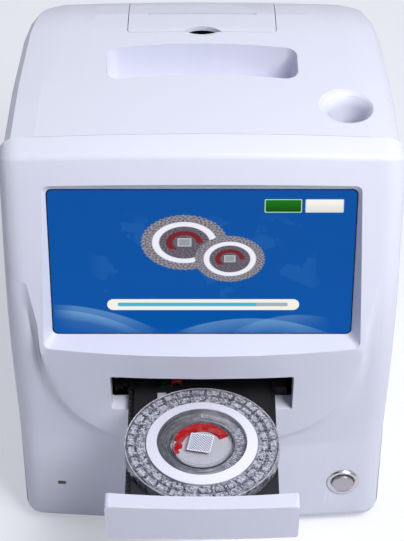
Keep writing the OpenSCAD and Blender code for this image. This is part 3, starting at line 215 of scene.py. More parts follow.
def brushed_group():
    """Machined or brushed metal: fine lines along one direction and a few stains."""
    tree, at, to = new_group(
        "brushed_surface",
        {
            "Colour": (0.6, 0.6, 0.6, 1.0), "Stretch": Vector((40.0, 3000.0, 3000.0)),
            "Roughness": 0.3, "Stain": 0.1,
        },
        SURFACE_OUTPUTS,
    )
    where = tree.place()
    lines = tree.noise(tree.vector("MULTIPLY", where, at["Stretch"]), 1.0, 3.0, 0.7)
    stain = tree.noise(where, 60.0, 4.0)
    dark = tree.times(tree.ramp(stain, 0.5, 0.7), at["Stain"])
    tree.put(to["Colour"], tree.mix(dark, at["Colour"], (0.2, 0.2, 0.21, 1.0)))
    uneven = tree.math("SUBTRACT", lines, 0.5)
    tree.put(to["Roughness"], tree.math("MULTIPLY_ADD", uneven, 0.25, at["Roughness"]))
    tree.put(to["Height"], lines)
    return tree.tree


GROUPS = {}


def group(name):
    makers = {"moulded": moulded_group, "brushed": brushed_group, "disc": disc_picture_group}
    if name not in GROUPS:
        GROUPS[name] = makers[name]()
    return GROUPS[name]


def new_material(name):
    """A material with a Principled shader, its tree and the shader node."""
    material = bpy.data.materials.new(name)
    material.use_nodes = True
    tree = Tree(material.node_tree)
    return material, tree, material.node_tree.nodes["Principled BSDF"]


def bumped(tree, shader, height, depth):
    bump = tree.add("ShaderNodeBump", {"Height": height, "Strength": 0.6, "Distance": depth})
    tree.put(shader.inputs["Normal"], bump)


def surfaced(name, kind, depth, **values):
    """A material whose colour, roughness and height come from a shared surface group."""
    material, tree, shader = new_material(name)
    skin = tree.add("ShaderNodeGroup", out=None, node_tree=group(kind))
    for label, value in values.items():
        skin.inputs[label].default_value = value
    tree.put(shader.inputs["Base Color"], skin.outputs["Colour"])
    tree.put(shader.inputs["Roughness"], skin.outputs["Roughness"])
    bumped(tree, shader, skin.outputs["Height"], depth)
    return material, shader


def moulded(
    name, colour, roughness=0.4, grain=2500.0, depth=0.00003, shading=0.03, marks=0.06,
    coat=0.0, ior=1.5,
):
    """Moulded plastic or rubber, and smooth skins such as paper."""
    material, shader = surfaced(
        name, "moulded", depth,
        Colour=rgba(colour), Grain=grain, Shading=shading, Roughness=roughness, Marks=marks,
    )
    shader.inputs["IOR"].default_value = ior
    shader.inputs["Coat Weight"].default_value = coat
    shader.inputs["Coat Roughness"].default_value = 0.2
    return material


def metal(name, colour, roughness, stretch, stain=0.1):
    """Brushed or plated metal."""
    material, shader = surfaced(
        name, "brushed", 0.00002,
        Colour=rgba(colour), Stretch=stretch, Roughness=roughness, Stain=stain,
    )
    shader.inputs["Metallic"].default_value = 1.0
    return material


def clear(name, colour, roughness, through):
    """Clear glass with a slight ripple."""
    material, tree, shader = new_material(name)
    where = tree.place()
    wave = tree.noise(where, 300.0, 3.0)
    faint = tree.times(tree.ramp(wave, 0.55, 0.7), 0.25)
    tree.put(shader.inputs["Base Color"], tree.mix(faint, rgba(colour), WHITE))
    tree.put(shader.inputs["Roughness"], tree.ramp(wave, 0.3, 0.7, roughness, roughness + 0.06))
    bumped(tree, shader, wave, 0.00004)
    shader.inputs["Transmission Weight"].default_value = through
    shader.inputs["IOR"].default_value = CLEAR_IOR
    return material


def disc_zones(tree):
    """Object coordinates, the distance from the disc's axis, and the x and y off that axis."""
    low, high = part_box("disc_base")
    middle = (low + high) / 2
    where = tree.place()
    flat = tree.vector("SUBTRACT", where, tuple(middle))
    flat = tree.vector("MULTIPLY", flat, (1.0, 1.0, 0.0))
    parts = tree.split(flat)
    return where, tree.vector("LENGTH", flat, out=1), parts[0], parts[1]


def band(tree, value, low, high, soft=0.0003):
    """1 where a value lies between low and high."""
    rise = tree.ramp(value, low - soft, low + soft)
    return tree.times(rise, tree.ramp(value, high + soft, high - soft))


def crystals(tree, where, scale):
    """Broken bright and dark facets, as the moulded cells of a clear disc show."""
    facets = tree.add("ShaderNodeTexVoronoi", {"Vector": where, "Scale": scale}, out=None).outputs
    tone = tree.add("ShaderNodeSeparateColor", [facets["Color"]])
    fine = tree.noise(where, scale * 1.7, 2.0, 0.7)
    mixed = tree.math("MULTIPLY_ADD", tone, 0.55, tree.times(fine, 0.45))
    return tree.ramp(mixed, 0.25, 0.8), facets["Distance"]


def disc_plastic(name, rim, hub, annulus, through, painted_side_shade):
    """Clear plastic of the disc: faceted at the rim, calm at the hub and dark between them, where
    painted shade darkens the left side further.
    """
    material, tree, shader = new_material(name)
    where, radius, x, y = disc_zones(tree)
    tone, relief = crystals(tree, where, 620.0)
    # Painted shade: the ring between hub and cells grows darker towards the left side
    shade = tree.math("MULTIPLY_ADD", tree.ramp(x, 0.004, -0.017), -painted_side_shade, 1.0)
    soft = tree.noise(where, 330.0, 3.0, 0.6)
    polar = tree.join(tree.times(radius, 900.0), tree.math("ARCTAN2", y, x), 0.0)
    arcs = tree.noise(polar, 1.3, 3.0)
    blotches = tree.ramp(soft, 0.3, 0.7, 0.75, 1.25)
    streaks = tree.times(blotches, tree.ramp(arcs, 0.35, 0.65, 0.55, 1.35))
    streaks_and_side_shade = tree.times(streaks, shade)
    between = tree.mix(1.0, rgba(annulus), tree.grey(streaks_and_side_shade), "MULTIPLY")
    colour = tree.mix(tree.ramp(radius, *HUB_EDGE), rgba(hub), between)
    at_rim = band(tree, radius, *CELL_BAND)
    colour = tree.mix(at_rim, colour, tree.mix(tone, rgba(rim[0]), rgba(rim[1])))
    dark_wall, light_wall = tint(70, 70, 82), tint(176, 176, 190)
    wall = tree.mix(tree.ramp(soft, 0.35, 0.65), dark_wall, light_wall)
    colour = tree.mix(tree.ramp(radius, *WALL_EDGE), colour, wall)
    tree.put(shader.inputs["Base Color"], colour)
    tree.put(shader.inputs["Roughness"], tree.ramp(soft, 0.3, 0.7, 0.06, 0.16))
    bumped(tree, shader, tree.times(relief, at_rim), 0.0006)
    shader.inputs["Transmission Weight"].default_value = through
    shader.inputs["IOR"].default_value = CLEAR_IOR
    return material


def cell_plastic(name, dark, bright, scale):
    """Glassy moulded cells that stand out of the disc."""
    material, tree, shader = new_material(name)
    where = tree.place()
    tone, relief = crystals(tree, where, scale)
    tree.put(shader.inputs["Base Color"], tree.mix(tone, rgba(dark), rgba(bright)))
    tree.put(shader.inputs["Roughness"], tree.ramp(tone, 0.0, 1.0, 0.06, 0.2))
    bumped(tree, shader, relief, 0.0005)
    shader.inputs["Transmission Weight"].default_value = 0.3
    shader.inputs["IOR"].default_value = CLEAR_IOR
    return material


def chamber_film():
    """Thin clear film of the sample chamber, with painted shade in thin dark lines where its wall
    turns down, strongest at the front.
    """
    material, tree, shader = new_material("chamber_clear")
    where, radius, _, y = disc_zones(tree)
    haze = tree.noise(where, 260.0, 3.0, 0.6)
    # Painted shade: two dark lines along the turned wall, fading towards the back
    step = band(tree, radius, 0.0150, 0.0152, 0.0001)
    rim_shade_lines = tree.math("MAXIMUM", step, band(tree, radius, 0.0163, 0.0170, 0.0001))
    front = tree.ramp(y, 0.006, -0.006, 0.35, 1.0)
    dark = tree.times(rim_shade_lines, front)
    dull, bright = tint(206, 206, 218), tint(236, 236, 246)
    colour = tree.mix(tree.ramp(haze, 0.4, 0.7), dull, bright)
    tree.put(shader.inputs["Base Color"], tree.mix(dark, colour, tint(40, 42, 50)))
    film = tree.ramp(haze, 0.45, 0.8, 0.0, 0.09)
    tree.put(shader.inputs["Alpha"], tree.math("MAXIMUM", film, tree.times(dark, 0.85)))
    tree.put(shader.inputs["Roughness"], tree.ramp(haze, 0.3, 0.7, 0.04, 0.12))
    bumped(tree, shader, haze, 0.00008)
    return material


def circuit_board(name, colour):
    """Solder mask with faint tracks under it."""
    material, tree, shader = new_material(name)
    where = tree.place()
    cells = tree.add(
        "ShaderNodeTexBrick",
        {"Vector": tree.vector("MULTIPLY", where, (260.0, 260.0, 260.0)), "Mortar Size": 0.035},
        out=1,
    )
    lighter = tuple(min(1.0, c * 1.9 + 0.01) for c in colour)
    tree.put(shader.inputs["Base Color"], tree.mix(cells, rgba(colour), rgba(lighter)))
    tree.put(shader.inputs["Roughness"], tree.ramp(tree.noise(where, 400.0), 0.3, 0.7, 0.2, 0.35))
    bumped(tree, shader, cells, 0.00003)
    shader.inputs["Coat Weight"].default_value = 0.4
    return material


# The picture on the screen, drawn from distances in the plane of the glass


def edge(tree, distance, soft):
    """1 inside a shape and 0 outside it, from its signed distance in metres."""
    return tree.math("MULTIPLY_ADD", distance, -1.0 / soft, 0.5, clamp=True)


def box_distance(tree, where, middle, half, corner):
    gap = tree.vector("ABSOLUTE", tree.vector("SUBTRACT", where, (*middle, 0.0)))
    gap = tree.vector("SUBTRACT", gap, (half[0] - corner, half[1] - corner, 0.0))
    outside = tree.vector("LENGTH", tree.vector("MAXIMUM", gap, (0.0, 0.0, 0.0)), out=1)
    return tree.math("SUBTRACT", outside, corner)


def disc_picture_group():
    """A small picture of a clear reagent disc: its cells, white ring and red arc."""
    tree, at, to = new_group(
        "disc_picture",
        {
            "Position": Vector((0.0, 0.0, 0.0)), "Centre": Vector((0.0, 0.0, 0.0)),
            "Size": Vector((0.02, 0.015, 1.0)),
        },
        {"Colour": "NodeSocketColor", "Mask": "NodeSocketFloat"},
    )
    flat = tree.vector("DIVIDE", tree.vector("SUBTRACT", at["Position"], at["Centre"]), at["Size"])
    flat = tree.vector("MULTIPLY", flat, (1.0, 1.0, 0.0))
    radius = tree.vector("LENGTH", flat, out=1)
    parts = tree.split(flat)
    angle = tree.math("ARCTAN2", parts[1], parts[0])

    def ring(inner, outer, soft=0.03):
        half = (outer - inner) / 2
        off = tree.math("ABSOLUTE", tree.math("SUBTRACT", radius, inner + half))
        return edge(tree, tree.math("SUBTRACT", off, half), soft)

    spokes = tree.math("SINE", tree.times(angle, 46.0))
    rows = tree.math("SINE", tree.times(radius, 42.0))
    cells = tree.math("MULTIPLY_ADD", tree.times(spokes, rows), 0.5, 0.5)
    specks = tree.noise(flat, 22.0, 2.0, 0.8)
    bright = tree.math("MULTIPLY_ADD", cells, 0.35, tree.ramp(specks, 0.35, 0.65, -0.15, 0.5))
    colour = tree.mix(bright, tint(70, 66, 78), tint(196, 192, 204))
    inner = edge(tree, tree.math("SUBTRACT", radius, 0.6), 0.03)
    dark, pale = tint(60, 56, 66), tint(134, 128, 142)
    colour = tree.mix(inner, colour, tree.mix(tree.ramp(specks, 0.35, 0.7), dark, pale))
    colour = tree.mix(ring(0.58, 0.74), colour, tint(240, 240, 252))
    upper = tree.ramp(parts[1], -0.06, 0.02)
    left = tree.math("MAXIMUM", upper, tree.ramp(parts[0], -0.05, -0.12))
    left = tree.times(left, tree.ramp(parts[1], -0.3, -0.2))
    arc = tree.times(ring(0.27, 0.42), left)
    colour = tree.mix(arc, colour, tint(122, 36, 40))
    side = box_distance(tree, flat, (0.0, -0.07), (0.17, 0.16), 0.02)
    colour = tree.mix(edge(tree, side, 0.02), colour, tint(92, 94, 100))
    top = box_distance(tree, flat, (0.0, 0.01), (0.16, 0.15), 0.02)
    colour = tree.mix(edge(tree, top, 0.02), colour, tint(186, 192, 196))
    core = box_distance(tree, flat, (0.0, 0.01), (0.125, 0.115), 0.01)
    colour = tree.mix(edge(tree, core, 0.02), colour, tint(150, 156, 162))
    tree.put(to["Colour"], colour)
    toothed = tree.math("MULTIPLY_ADD", spokes, 0.012, radius)
    tree.put(to["Mask"], edge(tree, tree.math("SUBTRACT", toothed, 0.985), 0.03))
    return tree.tree


# Each ribbon: its crest as (top, height, fall), the width that fades under it, its strength
# and where it ends at the left and the right
RIBBONS = [
    ((-0.077, 0.0180, -5.2), 0.010, 0.30, (-0.077, -0.022)),
    ((-0.077, 0.0150, -6.6), 0.006, 0.34, (-0.077, -0.030)),
    ((0.0250, 0.0096, -5.6), 0.009, 0.30, (-0.014, 0.070)),
    ((0.0500, 0.0118, -9.0), 0.008, 0.22, (0.015, 0.066)),
]
# Each small picture of a disc: its centre and its half size
DISC_PICTURES = [
    ((-0.0088, 0.0551), (0.0219, 0.0162)),
    ((0.0140, 0.0455), (0.0178, 0.0137)),
]
# The height of the keys, and for each its middle, half width and colours: top, foot and rim
KEY_LEVEL = 0.0763
KEYS = [
    (0.0402, 0.0092, linear(20, 122, 20), linear(12, 78, 8), linear(190, 236, 190)),
    (0.0606, 0.0095, linear(252, 250, 244), linear(226, 226, 222), linear(206, 214, 222)),
]
# Each layer of the progress bar: its centre, half size, corner and colour
BAR = [
    ((0.0006, 0.0181), (0.0490, 0.0033), 0.0032, linear(246, 244, 236)),
    ((0.0004, 0.0182), (0.0434, 0.0011), 0.0008, linear(172, 178, 184)),
    ((-0.0076, 0.0182), (0.0354, 0.0011), 0.0008, linear(70, 184, 222)),
]
# Softness of a drawn outline, and the dark border left round the lit picture
CRISP = 0.0002
BORDER = 0.0006


def with_ribbons(tree, across, along, colour):
    """Soft ribbons of light that cross the foot of the page."""
    for (top, height, fall), width, strength, (left, right) in RIBBONS:
        run = tree.math("SUBTRACT", across, top)
        crest = tree.math("MULTIPLY_ADD", tree.times(run, run), fall, height)
        below = tree.math("SUBTRACT", crest, along)
        fade = tree.ramp(below, 0.0, width, 1.0, 0.15)
        shown = tree.times(fade, edge(tree, tree.times(below, -1.0), 0.0006))
        entry = tree.ramp(across, left, left + 0.012)
        inside = tree.times(entry, tree.ramp(across, right, right - 0.02))
        under = tree.ramp(below, width * 2.2, width * 0.8)
        shown = tree.times(tree.times(shown, under), inside)
        shown = tree.times(shown, strength)
        colour = tree.mix(shown, colour, tint(150, 205, 240))
    return colour


def with_discs(tree, page, colour):
    for centre, size in DISC_PICTURES:
        picture = tree.add("ShaderNodeGroup", out=None, node_tree=group("disc"))
        tree.put(picture.inputs["Position"], page)
        picture.inputs["Centre"].default_value = (*centre, 0.0)
        picture.inputs["Size"].default_value = (*size, 1.0)
        colour = tree.mix(picture.outputs["Mask"], colour, picture.outputs["Colour"])
    return colour


def with_keys(tree, page, along, colour):
    """Two bare keys, each a rim with a face that is shaded from its foot to its top."""
    for middle, half, top, foot, rim in KEYS:
        centre = (middle, KEY_LEVEL)
        rim_gap = box_distance(tree, page, centre, (half, 0.0038), 0.0006)
        colour = tree.mix(edge(tree, rim_gap, CRISP), colour, rgba(rim))
        key_gap = box_distance(tree, page, centre, (half - 0.0004, 0.0034), 0.0005)
        key = tree.mix(tree.ramp(along, 0.073, 0.0797), rgba(foot), rgba(top))
        colour = tree.mix(edge(tree, key_gap, CRISP), colour, key)
    return colour


def with_bar(tree, page, colour):
    for centre, half, corner, paint_colour in BAR:
        gap = box_distance(tree, page, centre, half, corner)
        colour = tree.mix(edge(tree, gap, CRISP), colour, rgba(paint_colour))
    return colour


def screen_material(sizes, colours):
    """The lit screen: a blue page with faint shapes, two keys, two discs and a progress bar."""
    material, tree, shader = new_material("screen_picture")
    where = tree.place()
    local = tree.vector("SUBTRACT", where, tuple(screen_origin()))
    up = (0.0, math.sin(TILT), math.cos(TILT))
    along = tree.vector("DOT_PRODUCT", local, up, out=1)
    across = tree.split(local)[0]
    page = tree.join(across, along, 0.0)
    upper = [c * 0.93 for c in colours.screen_blue]
    blue = tree.mix(tree.ramp(along, 0.0, 0.086), rgba(colours.screen_blue), rgba(upper))
    # Faint blots stand for the page's background picture
    blots = tree.ramp(tree.noise(page, 42.0, 3.5, 0.55), 0.55, 0.57)
    field = box_distance(tree, page, (0.002, 0.043), (0.056, 0.026), 0.012)
    faint = tree.times(tree.times(blots, edge(tree, field, 0.008)), 0.07)
    colour = tree.mix(faint, blue, tint(90, 160, 215))
    colour = with_ribbons(tree, across, along, colour)
    colour = with_discs(tree, page, colour)
    colour = with_keys(tree, page, along, colour)
    colour = with_bar(tree, page, colour)
    half_width, half_height = 0.5 * sizes.screen_width, 0.5 * sizes.screen_height
    half = (half_width - BORDER, half_height - BORDER)
    lit_gap = box_distance(tree, page, (0.0, half_height), half, 0.0028)
    colour = tree.mix(edge(tree, lit_gap, CRISP), (0.004, 0.004, 0.006, 1.0), colour)
    shader.inputs["Base Color"].default_value = (0.002, 0.002, 0.003, 1.0)
    tree.put(shader.inputs["Emission Color"], colour)
    shader.inputs["Emission Strength"].default_value = 0.97
    shader.inputs["Specular IOR Level"].default_value = 0.05
    smear = tree.noise(tree.vector("MULTIPLY", page, (60.0, 160.0, 1.0)), 1.0, 4.0, 0.6)
    tree.put(shader.inputs["Roughness"], tree.ramp(smear, 0.45, 0.75, 0.12, 0.2))
    bumped(tree, shader, smear, 0.000004)
    return material


def screen_origin():
    """Middle of the lower edge of the lit screen, on the face of the glass."""
    low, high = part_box("touch_glass")
    margin = 0.004
    y = low.y + margin * math.sin(TILT)
    z = low.z + margin * math.cos(TILT) + 0.0014 * math.sin(TILT)
    return Vector((0.0, y, z))


# Geometry trees that repeat a form


def geometry_tree(name, inputs):
    tree = bpy.data.node_groups.new(name, "GeometryNodeTree")
    kinds = {
        int: "NodeSocketInt", float: "NodeSocketFloat", tuple: "NodeSocketVector",
        None: "NodeSocketMaterial",
    }
    for way in ("OUTPUT", "INPUT"):
        tree.interface.new_socket("Geometry", in_out=way, socket_type="NodeSocketGeometry")
    for label, value in inputs.items():
        kind = kinds[None if value is None else type(value)]
        socket = tree.interface.new_socket(label, in_out="INPUT", socket_type=kind)
        if value is not None:
            socket.default_value = value
    made = Tree(tree)
    return made, *made.ends()


def finish_tree(made, points, form, rotation, scale, material, to):
    """Instances the form on the points, makes it real and gives it its material."""
    placed = made.add(
        "GeometryNodeInstanceOnPoints",
        {"Points": points, "Instance": form, "Rotation": rotation, "Scale": scale},
    )
    real = made.add("GeometryNodeRealizeInstances", [placed])
    coloured = made.add("GeometryNodeSetMaterial", {"Geometry": real, "Material": material})
    made.put(to["Geometry"], coloured)


def ring_tree():
    """Repeats a form round an arc, each copy turned to the middle and tipped a little."""
    made, at, to = geometry_tree(
        "repeat_round",
        {
            "Centre": (0.0, 0.0, 0.0), "Count": 12, "Radius": 0.03, "Start": 0.0,
            "Sweep": 2 * math.pi, "Tip": 0.0, "Spread": 0.0, "Seed": 1, "Material": None,
        },
    )
    line = made.add("GeometryNodeMeshLine", {"Count": at["Count"]})
    index = made.add("GeometryNodeInputIndex")
    share = made.math("DIVIDE", index, at["Count"])
    angle = made.math("MULTIPLY_ADD", share, at["Sweep"], at["Start"])
    x = made.times(made.math("COSINE", angle), at["Radius"])
    y = made.times(made.math("SINE", angle), at["Radius"])
    spot = made.vector("ADD", made.join(x, y, 0.0), at["Centre"])
    points = made.add("GeometryNodeSetPosition", {"Geometry": line, "Position": spot})

    def chance(most, offset):
        """A drawn value between minus and plus the most that is given."""
        seed = made.math("ADD", at["Seed"], float(offset))
        node = made.add("FunctionNodeRandomValue", out=None, data_type="FLOAT")
        made.put(node.inputs[2], made.times(most, -1.0))
        made.put(node.inputs[3], most)
        made.put(node.inputs["Seed"], seed)
        return node.outputs[1]

    turn = made.join(chance(at["Tip"], 0), chance(at["Tip"], 7), angle)
    grown = [made.math("ADD", chance(at["Spread"], offset), 1.0) for offset in (13, 19, 29)]
    size = made.join(*grown)
    finish_tree(made, points, at["Geometry"], turn, size, at["Material"], to)
    return made.tree


def row_tree():
    """Repeats a form along one straight row."""
    made, at, to = geometry_tree(
        "repeat_row",
        {"Start": (0.0, 0.0, 0.0), "Step": (0.01, 0.0, 0.0), "Count": 4, "Material": None},
    )
    line = made.add(
        "GeometryNodeMeshLine",
        {"Count": at["Count"], "Start Location": at["Start"], "Offset": at["Step"]},
        mode="OFFSET",
    )
    level, whole = (0.0, 0.0, 0.0), (1.0, 1.0, 1.0)
    finish_tree(made, line, at["Geometry"], level, whole, at["Material"], to)
    return made.tree


def applied(piece):
    """The plain mesh that a piece's modifiers give, with the modifiers taken off."""
    bpy.context.view_layer.update()
    depsgraph = bpy.context.evaluated_depsgraph_get()
    mesh = bpy.data.meshes.new_from_object(piece.evaluated_get(depsgraph))
    piece.modifiers.clear()
    return mesh


TREES = {}


def repeated(name, form, kind, body, slot, material, **inputs):
    """Runs a repeating tree on a form and keeps the plain mesh that comes out of it."""
    if kind not in TREES:
        TREES[kind] = {"round": ring_tree, "row": row_tree}[kind]()
    tree = TREES[kind]
    piece = bpy.data.objects.new(name, form)
    bpy.context.scene.collection.objects.link(piece)
    modifier = piece.modifiers.new(name, "NODES")
    modifier.node_group = tree
    sockets = {i.name: i.identifier for i in tree.interface.items_tree if i.in_out == "INPUT"}
    for label, value in {**inputs, "Material": material}.items():
        modifier[sockets[label.replace("_", " ").capitalize()]] = value
    mesh = applied(piece)
    piece.data = mesh
    mesh.name = name
    if not mesh.vertices:
        raise RuntimeError(f"{name} came out empty")
    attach(piece, body)
    return piece


def bevelled_block(name, width, length, height, bevel, segments=2):
    """A block with rounded edges, standing on its own origin."""
    form = bmesh.new()
    bmesh.ops.create_cube(form, size=1.0)
    bmesh.ops.scale(form, verts=form.verts, vec=(width, length, height))
    bmesh.ops.translate(form, verts=form.verts, vec=(0.0, 0.0, height / 2))
    bmesh.ops.bevel(
        form, geom=form.edges[:], offset=bevel, segments=segments, affect="EDGES", profile=0.6
    )
    mesh = bpy.data.meshes.new(name)
    form.to_mesh(mesh)
    form.free()
    return mesh


def turned_ring(name, profile, steps):
    """A ring about Z, turned from the (radius, height) corners of its section."""
    turns = [2 * math.pi * i / steps for i in range(steps)]
    form = bmesh.new()
    rings = [
        [form.verts.new((radius * math.cos(a), radius * math.sin(a), height)) for a in turns]
        for radius, height in profile
    ]
    for a, b in zip(rings, rings[1:] + rings[:1]):
        for i in range(steps):
            j = (i + 1) % steps
            form.faces.new([a[i], a[j], b[j], b[i]])
    bmesh.ops.recalc_face_normals(form, faces=form.faces)
    mesh = bpy.data.meshes.new(name)
    form.to_mesh(mesh)
    form.free()
    return mesh


def smooth(mesh, degrees):
    """Shades a mesh smooth, apart from edges that turn by more than the angle."""
    mesh.shade_smooth()
    mesh.set_sharp_from_angle(angle=math.radians(degrees))


def ride(name, mesh, place, body, material):
    """A piece set at a place on the body that carries it."""
    mesh.transform(Matrix.Translation(place))
    mesh.materials.append(material)
    piece = bpy.data.objects.new(name, mesh)
    bpy.context.scene.collection.objects.link(piece)
    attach(piece, body)
    return piece


def smooth_skin(body, material, angle, name):
    """A merged copy of a moulded CAD node, shaded smooth up to an angle, that stands for it."""
    form = bmesh.new()
    form.from_mesh(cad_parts[name].data)
    bmesh.ops.remove_doubles(form, verts=form.verts, dist=2e-6)
    mesh = bpy.data.meshes.new(f"{name}_skin")
    form.to_mesh(mesh)
    form.free()
    smooth(mesh, angle)
    piece = ride(f"{name}_skin", mesh, (0.0, 0.0, 0.0), body, material)
    piece.modifiers.new("weighted", "WEIGHTED_NORMAL").keep_sharp = True
    piece.data = applied(piece)
    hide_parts(name)


def paint(material, *nodes):
    """Gives a CAD node its material."""
    for name in nodes:
        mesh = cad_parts[name].data
        mesh.materials.clear()
        mesh.materials.append(material)


# Sizes and colours


class AnalyzerSizes(bpy.types.PropertyGroup):
    """Sizes of the details that this file adds"""

    screen_width: FloatProperty(
        name="Screen Width", description="Width of the lit screen",
        default=0.1541, unit="LENGTH",
    )
    screen_height: FloatProperty(
        name="Screen Height", description="Height of the lit screen",
        default=0.0859, unit="LENGTH",
    )
    rim_cells: IntProperty(
        name="Rim Cells", description="Number of cells in one row of the disc",
        default=30, min=12, max=60,
    )
    cell_tip: FloatProperty(
        name="Cell Tip", description="Most that one cell leans off level",
        default=0.14, unit="ROTATION",
    )
    floor_size: FloatProperty(
        name="Floor Size", description="Side of the floor under the analyzer",
        default=6.0, unit="LENGTH",
    )


def colour_setting(name, description, *display):
    return FloatVectorProperty(
        name=name, description=description, subtype="COLOR", default=linear(*display)
    )


class AnalyzerColours(bpy.types.PropertyGroup):
    """Colours of the analyzer's finishes"""

    shell: colour_setting("Shell", "Plastic of the housing", 226, 228, 242)
    screen_blue: colour_setting("Screen Blue", "Ground of the screen's picture", 0, 84, 168)
    tray: colour_setting("Tray", "Plastic of the tray", 34, 33, 38)
    sample_red: colour_setting("Sample Red", "Sample in the disc", 176, 0, 2)


# Operators


class ANALYZER_OT_housing(bpy.types.Operator):
    """Finish the mouldings, the base and its feet"""

    bl_idname = "analyzer.housing"
    bl_label = "Housing"

    def execute(self, context):
        colours = context.scene.analyzer_colours
        shell = moulded("shell_plastic", colours.shell, 0.42, 2200.0, 0.00002, 0.02, 0.05)
        front = moulded("drawer_plastic", colours.shell, 0.34, 2600.0, 0.00001, 0.02, 0.05)
        paint(shell, "well_liner")
        # A wide angle rounds the coarse facets, a narrow one keeps the recess and the seams crisp
        wide, narrow = 32.0, 11.0
        smooth_skin("housing", shell, wide, "front_panel")
        smooth_skin("housing", shell, narrow, "rear_cover")
        smooth_skin("lid", shell, narrow, "printer_lid")
        smooth_skin("drawer", front, wide, "drawer_front")
        sheet = metal("plated_sheet", linear(176, 180, 186), 0.42, (2000.0, 60.0, 2000.0), 0.15)
        paint(sheet, "base_plate")
        rubber = moulded("foot_rubber", linear(34, 34, 37), 0.8, 1500.0, 0.00008, 0.1, 0.1)
        paint(rubber, "rubber_feet")
        paint(metal("screw_steel", linear(150, 152, 158), 0.3, EVEN, 0.2), "housing_screws")
        return {"FINISHED"}


class ANALYZER_OT_screen(bpy.types.Operator):
    """Light the touch screen and finish the display behind it"""

    bl_idname = "analyzer.screen"
    bl_label = "Screen"

    def execute(self, context):
        scene = context.scene
        paint(screen_material(scene.analyzer_sizes, scene.analyzer_colours), "touch_glass")
        paint(moulded("display_case", linear(58, 60, 66), 0.5, 1200.0), "display_panel")
        steel = metal("bracket_steel", linear(186, 190, 196), 0.36, ALONG_X)
        paint(steel, "display_bracket", "display_screws")
        return {"FINISHED"}


class ANALYZER_OT_controls(bpy.types.Operator):
    """Finish the metal push button and the indicator window"""

    bl_idname = "analyzer.controls"
    bl_label = "Controls"

    def execute(self, context):
        ring = metal("button_steel", linear(196, 194, 200), 0.24, (2500.0, 2500.0, 90.0), 0.05)
        paint(ring, "power_button_ring")
        cap = metal("cap_steel", linear(172, 168, 174), 0.3, (90.0, 2500.0, 2500.0), 0.06)
        paint(cap, "power_button_cap")
        paint(metal("nut_steel", linear(160, 160, 164), 0.38, EVEN), "power_button_nut")
        window = moulded(
            "smoked_window", linear(28, 28, 34), 0.12, 900.0, 0.000004, 0.1, 0.05, coat=0.6
        )
        paint(window, "indicator_lens")
        return {"FINISHED"}


class ANALYZER_OT_drawer(bpy.types.Operator):
    """Finish the disc drawer, its drive and its rails"""

    bl_idname = "analyzer.drawer"
    bl_label = "Drawer"

    def execute(self, context):
        black = context.scene.analyzer_colours.tray
        tray = moulded("tray_plastic", black, 0.55, 1600.0, 0.00004, 0.12, 0.1)
        paint(tray, "drawer_tray", "drawer_rack")
        rail = moulded("rail_plastic", linear(40, 41, 46), 0.7, 1500.0, 0.00004, 0.08)
        paint(rail, "drawer_rails")
        pinion = moulded("pinion_plastic", linear(30, 30, 35), 0.7, 1500.0, 0.00002, 0.05)
        paint(pinion, "drive_pinion")
        paint(metal("motor_steel", linear(172, 176, 182), 0.32, ALONG_Z), "drawer_motor")
        paint(circuit_board("sensor_board", linear(10, 42, 28)), "tray_board")
        # Pale grey diffuse paint in place of plated metal: a painted reflection of the bright
        # surroundings
        clip = moulded("clip_painted_reflection", linear(204, 205, 218), 0.45, 1500.0, 0.00002, 0.06)
        paint(clip, "tray_clip")
        wire = moulded("wire_red", linear(176, 22, 24), 0.35, 900.0, 0.00001, 0.1, coat=0.3)
        paint(wire, "tray_wires")
        return {"FINISHED"}


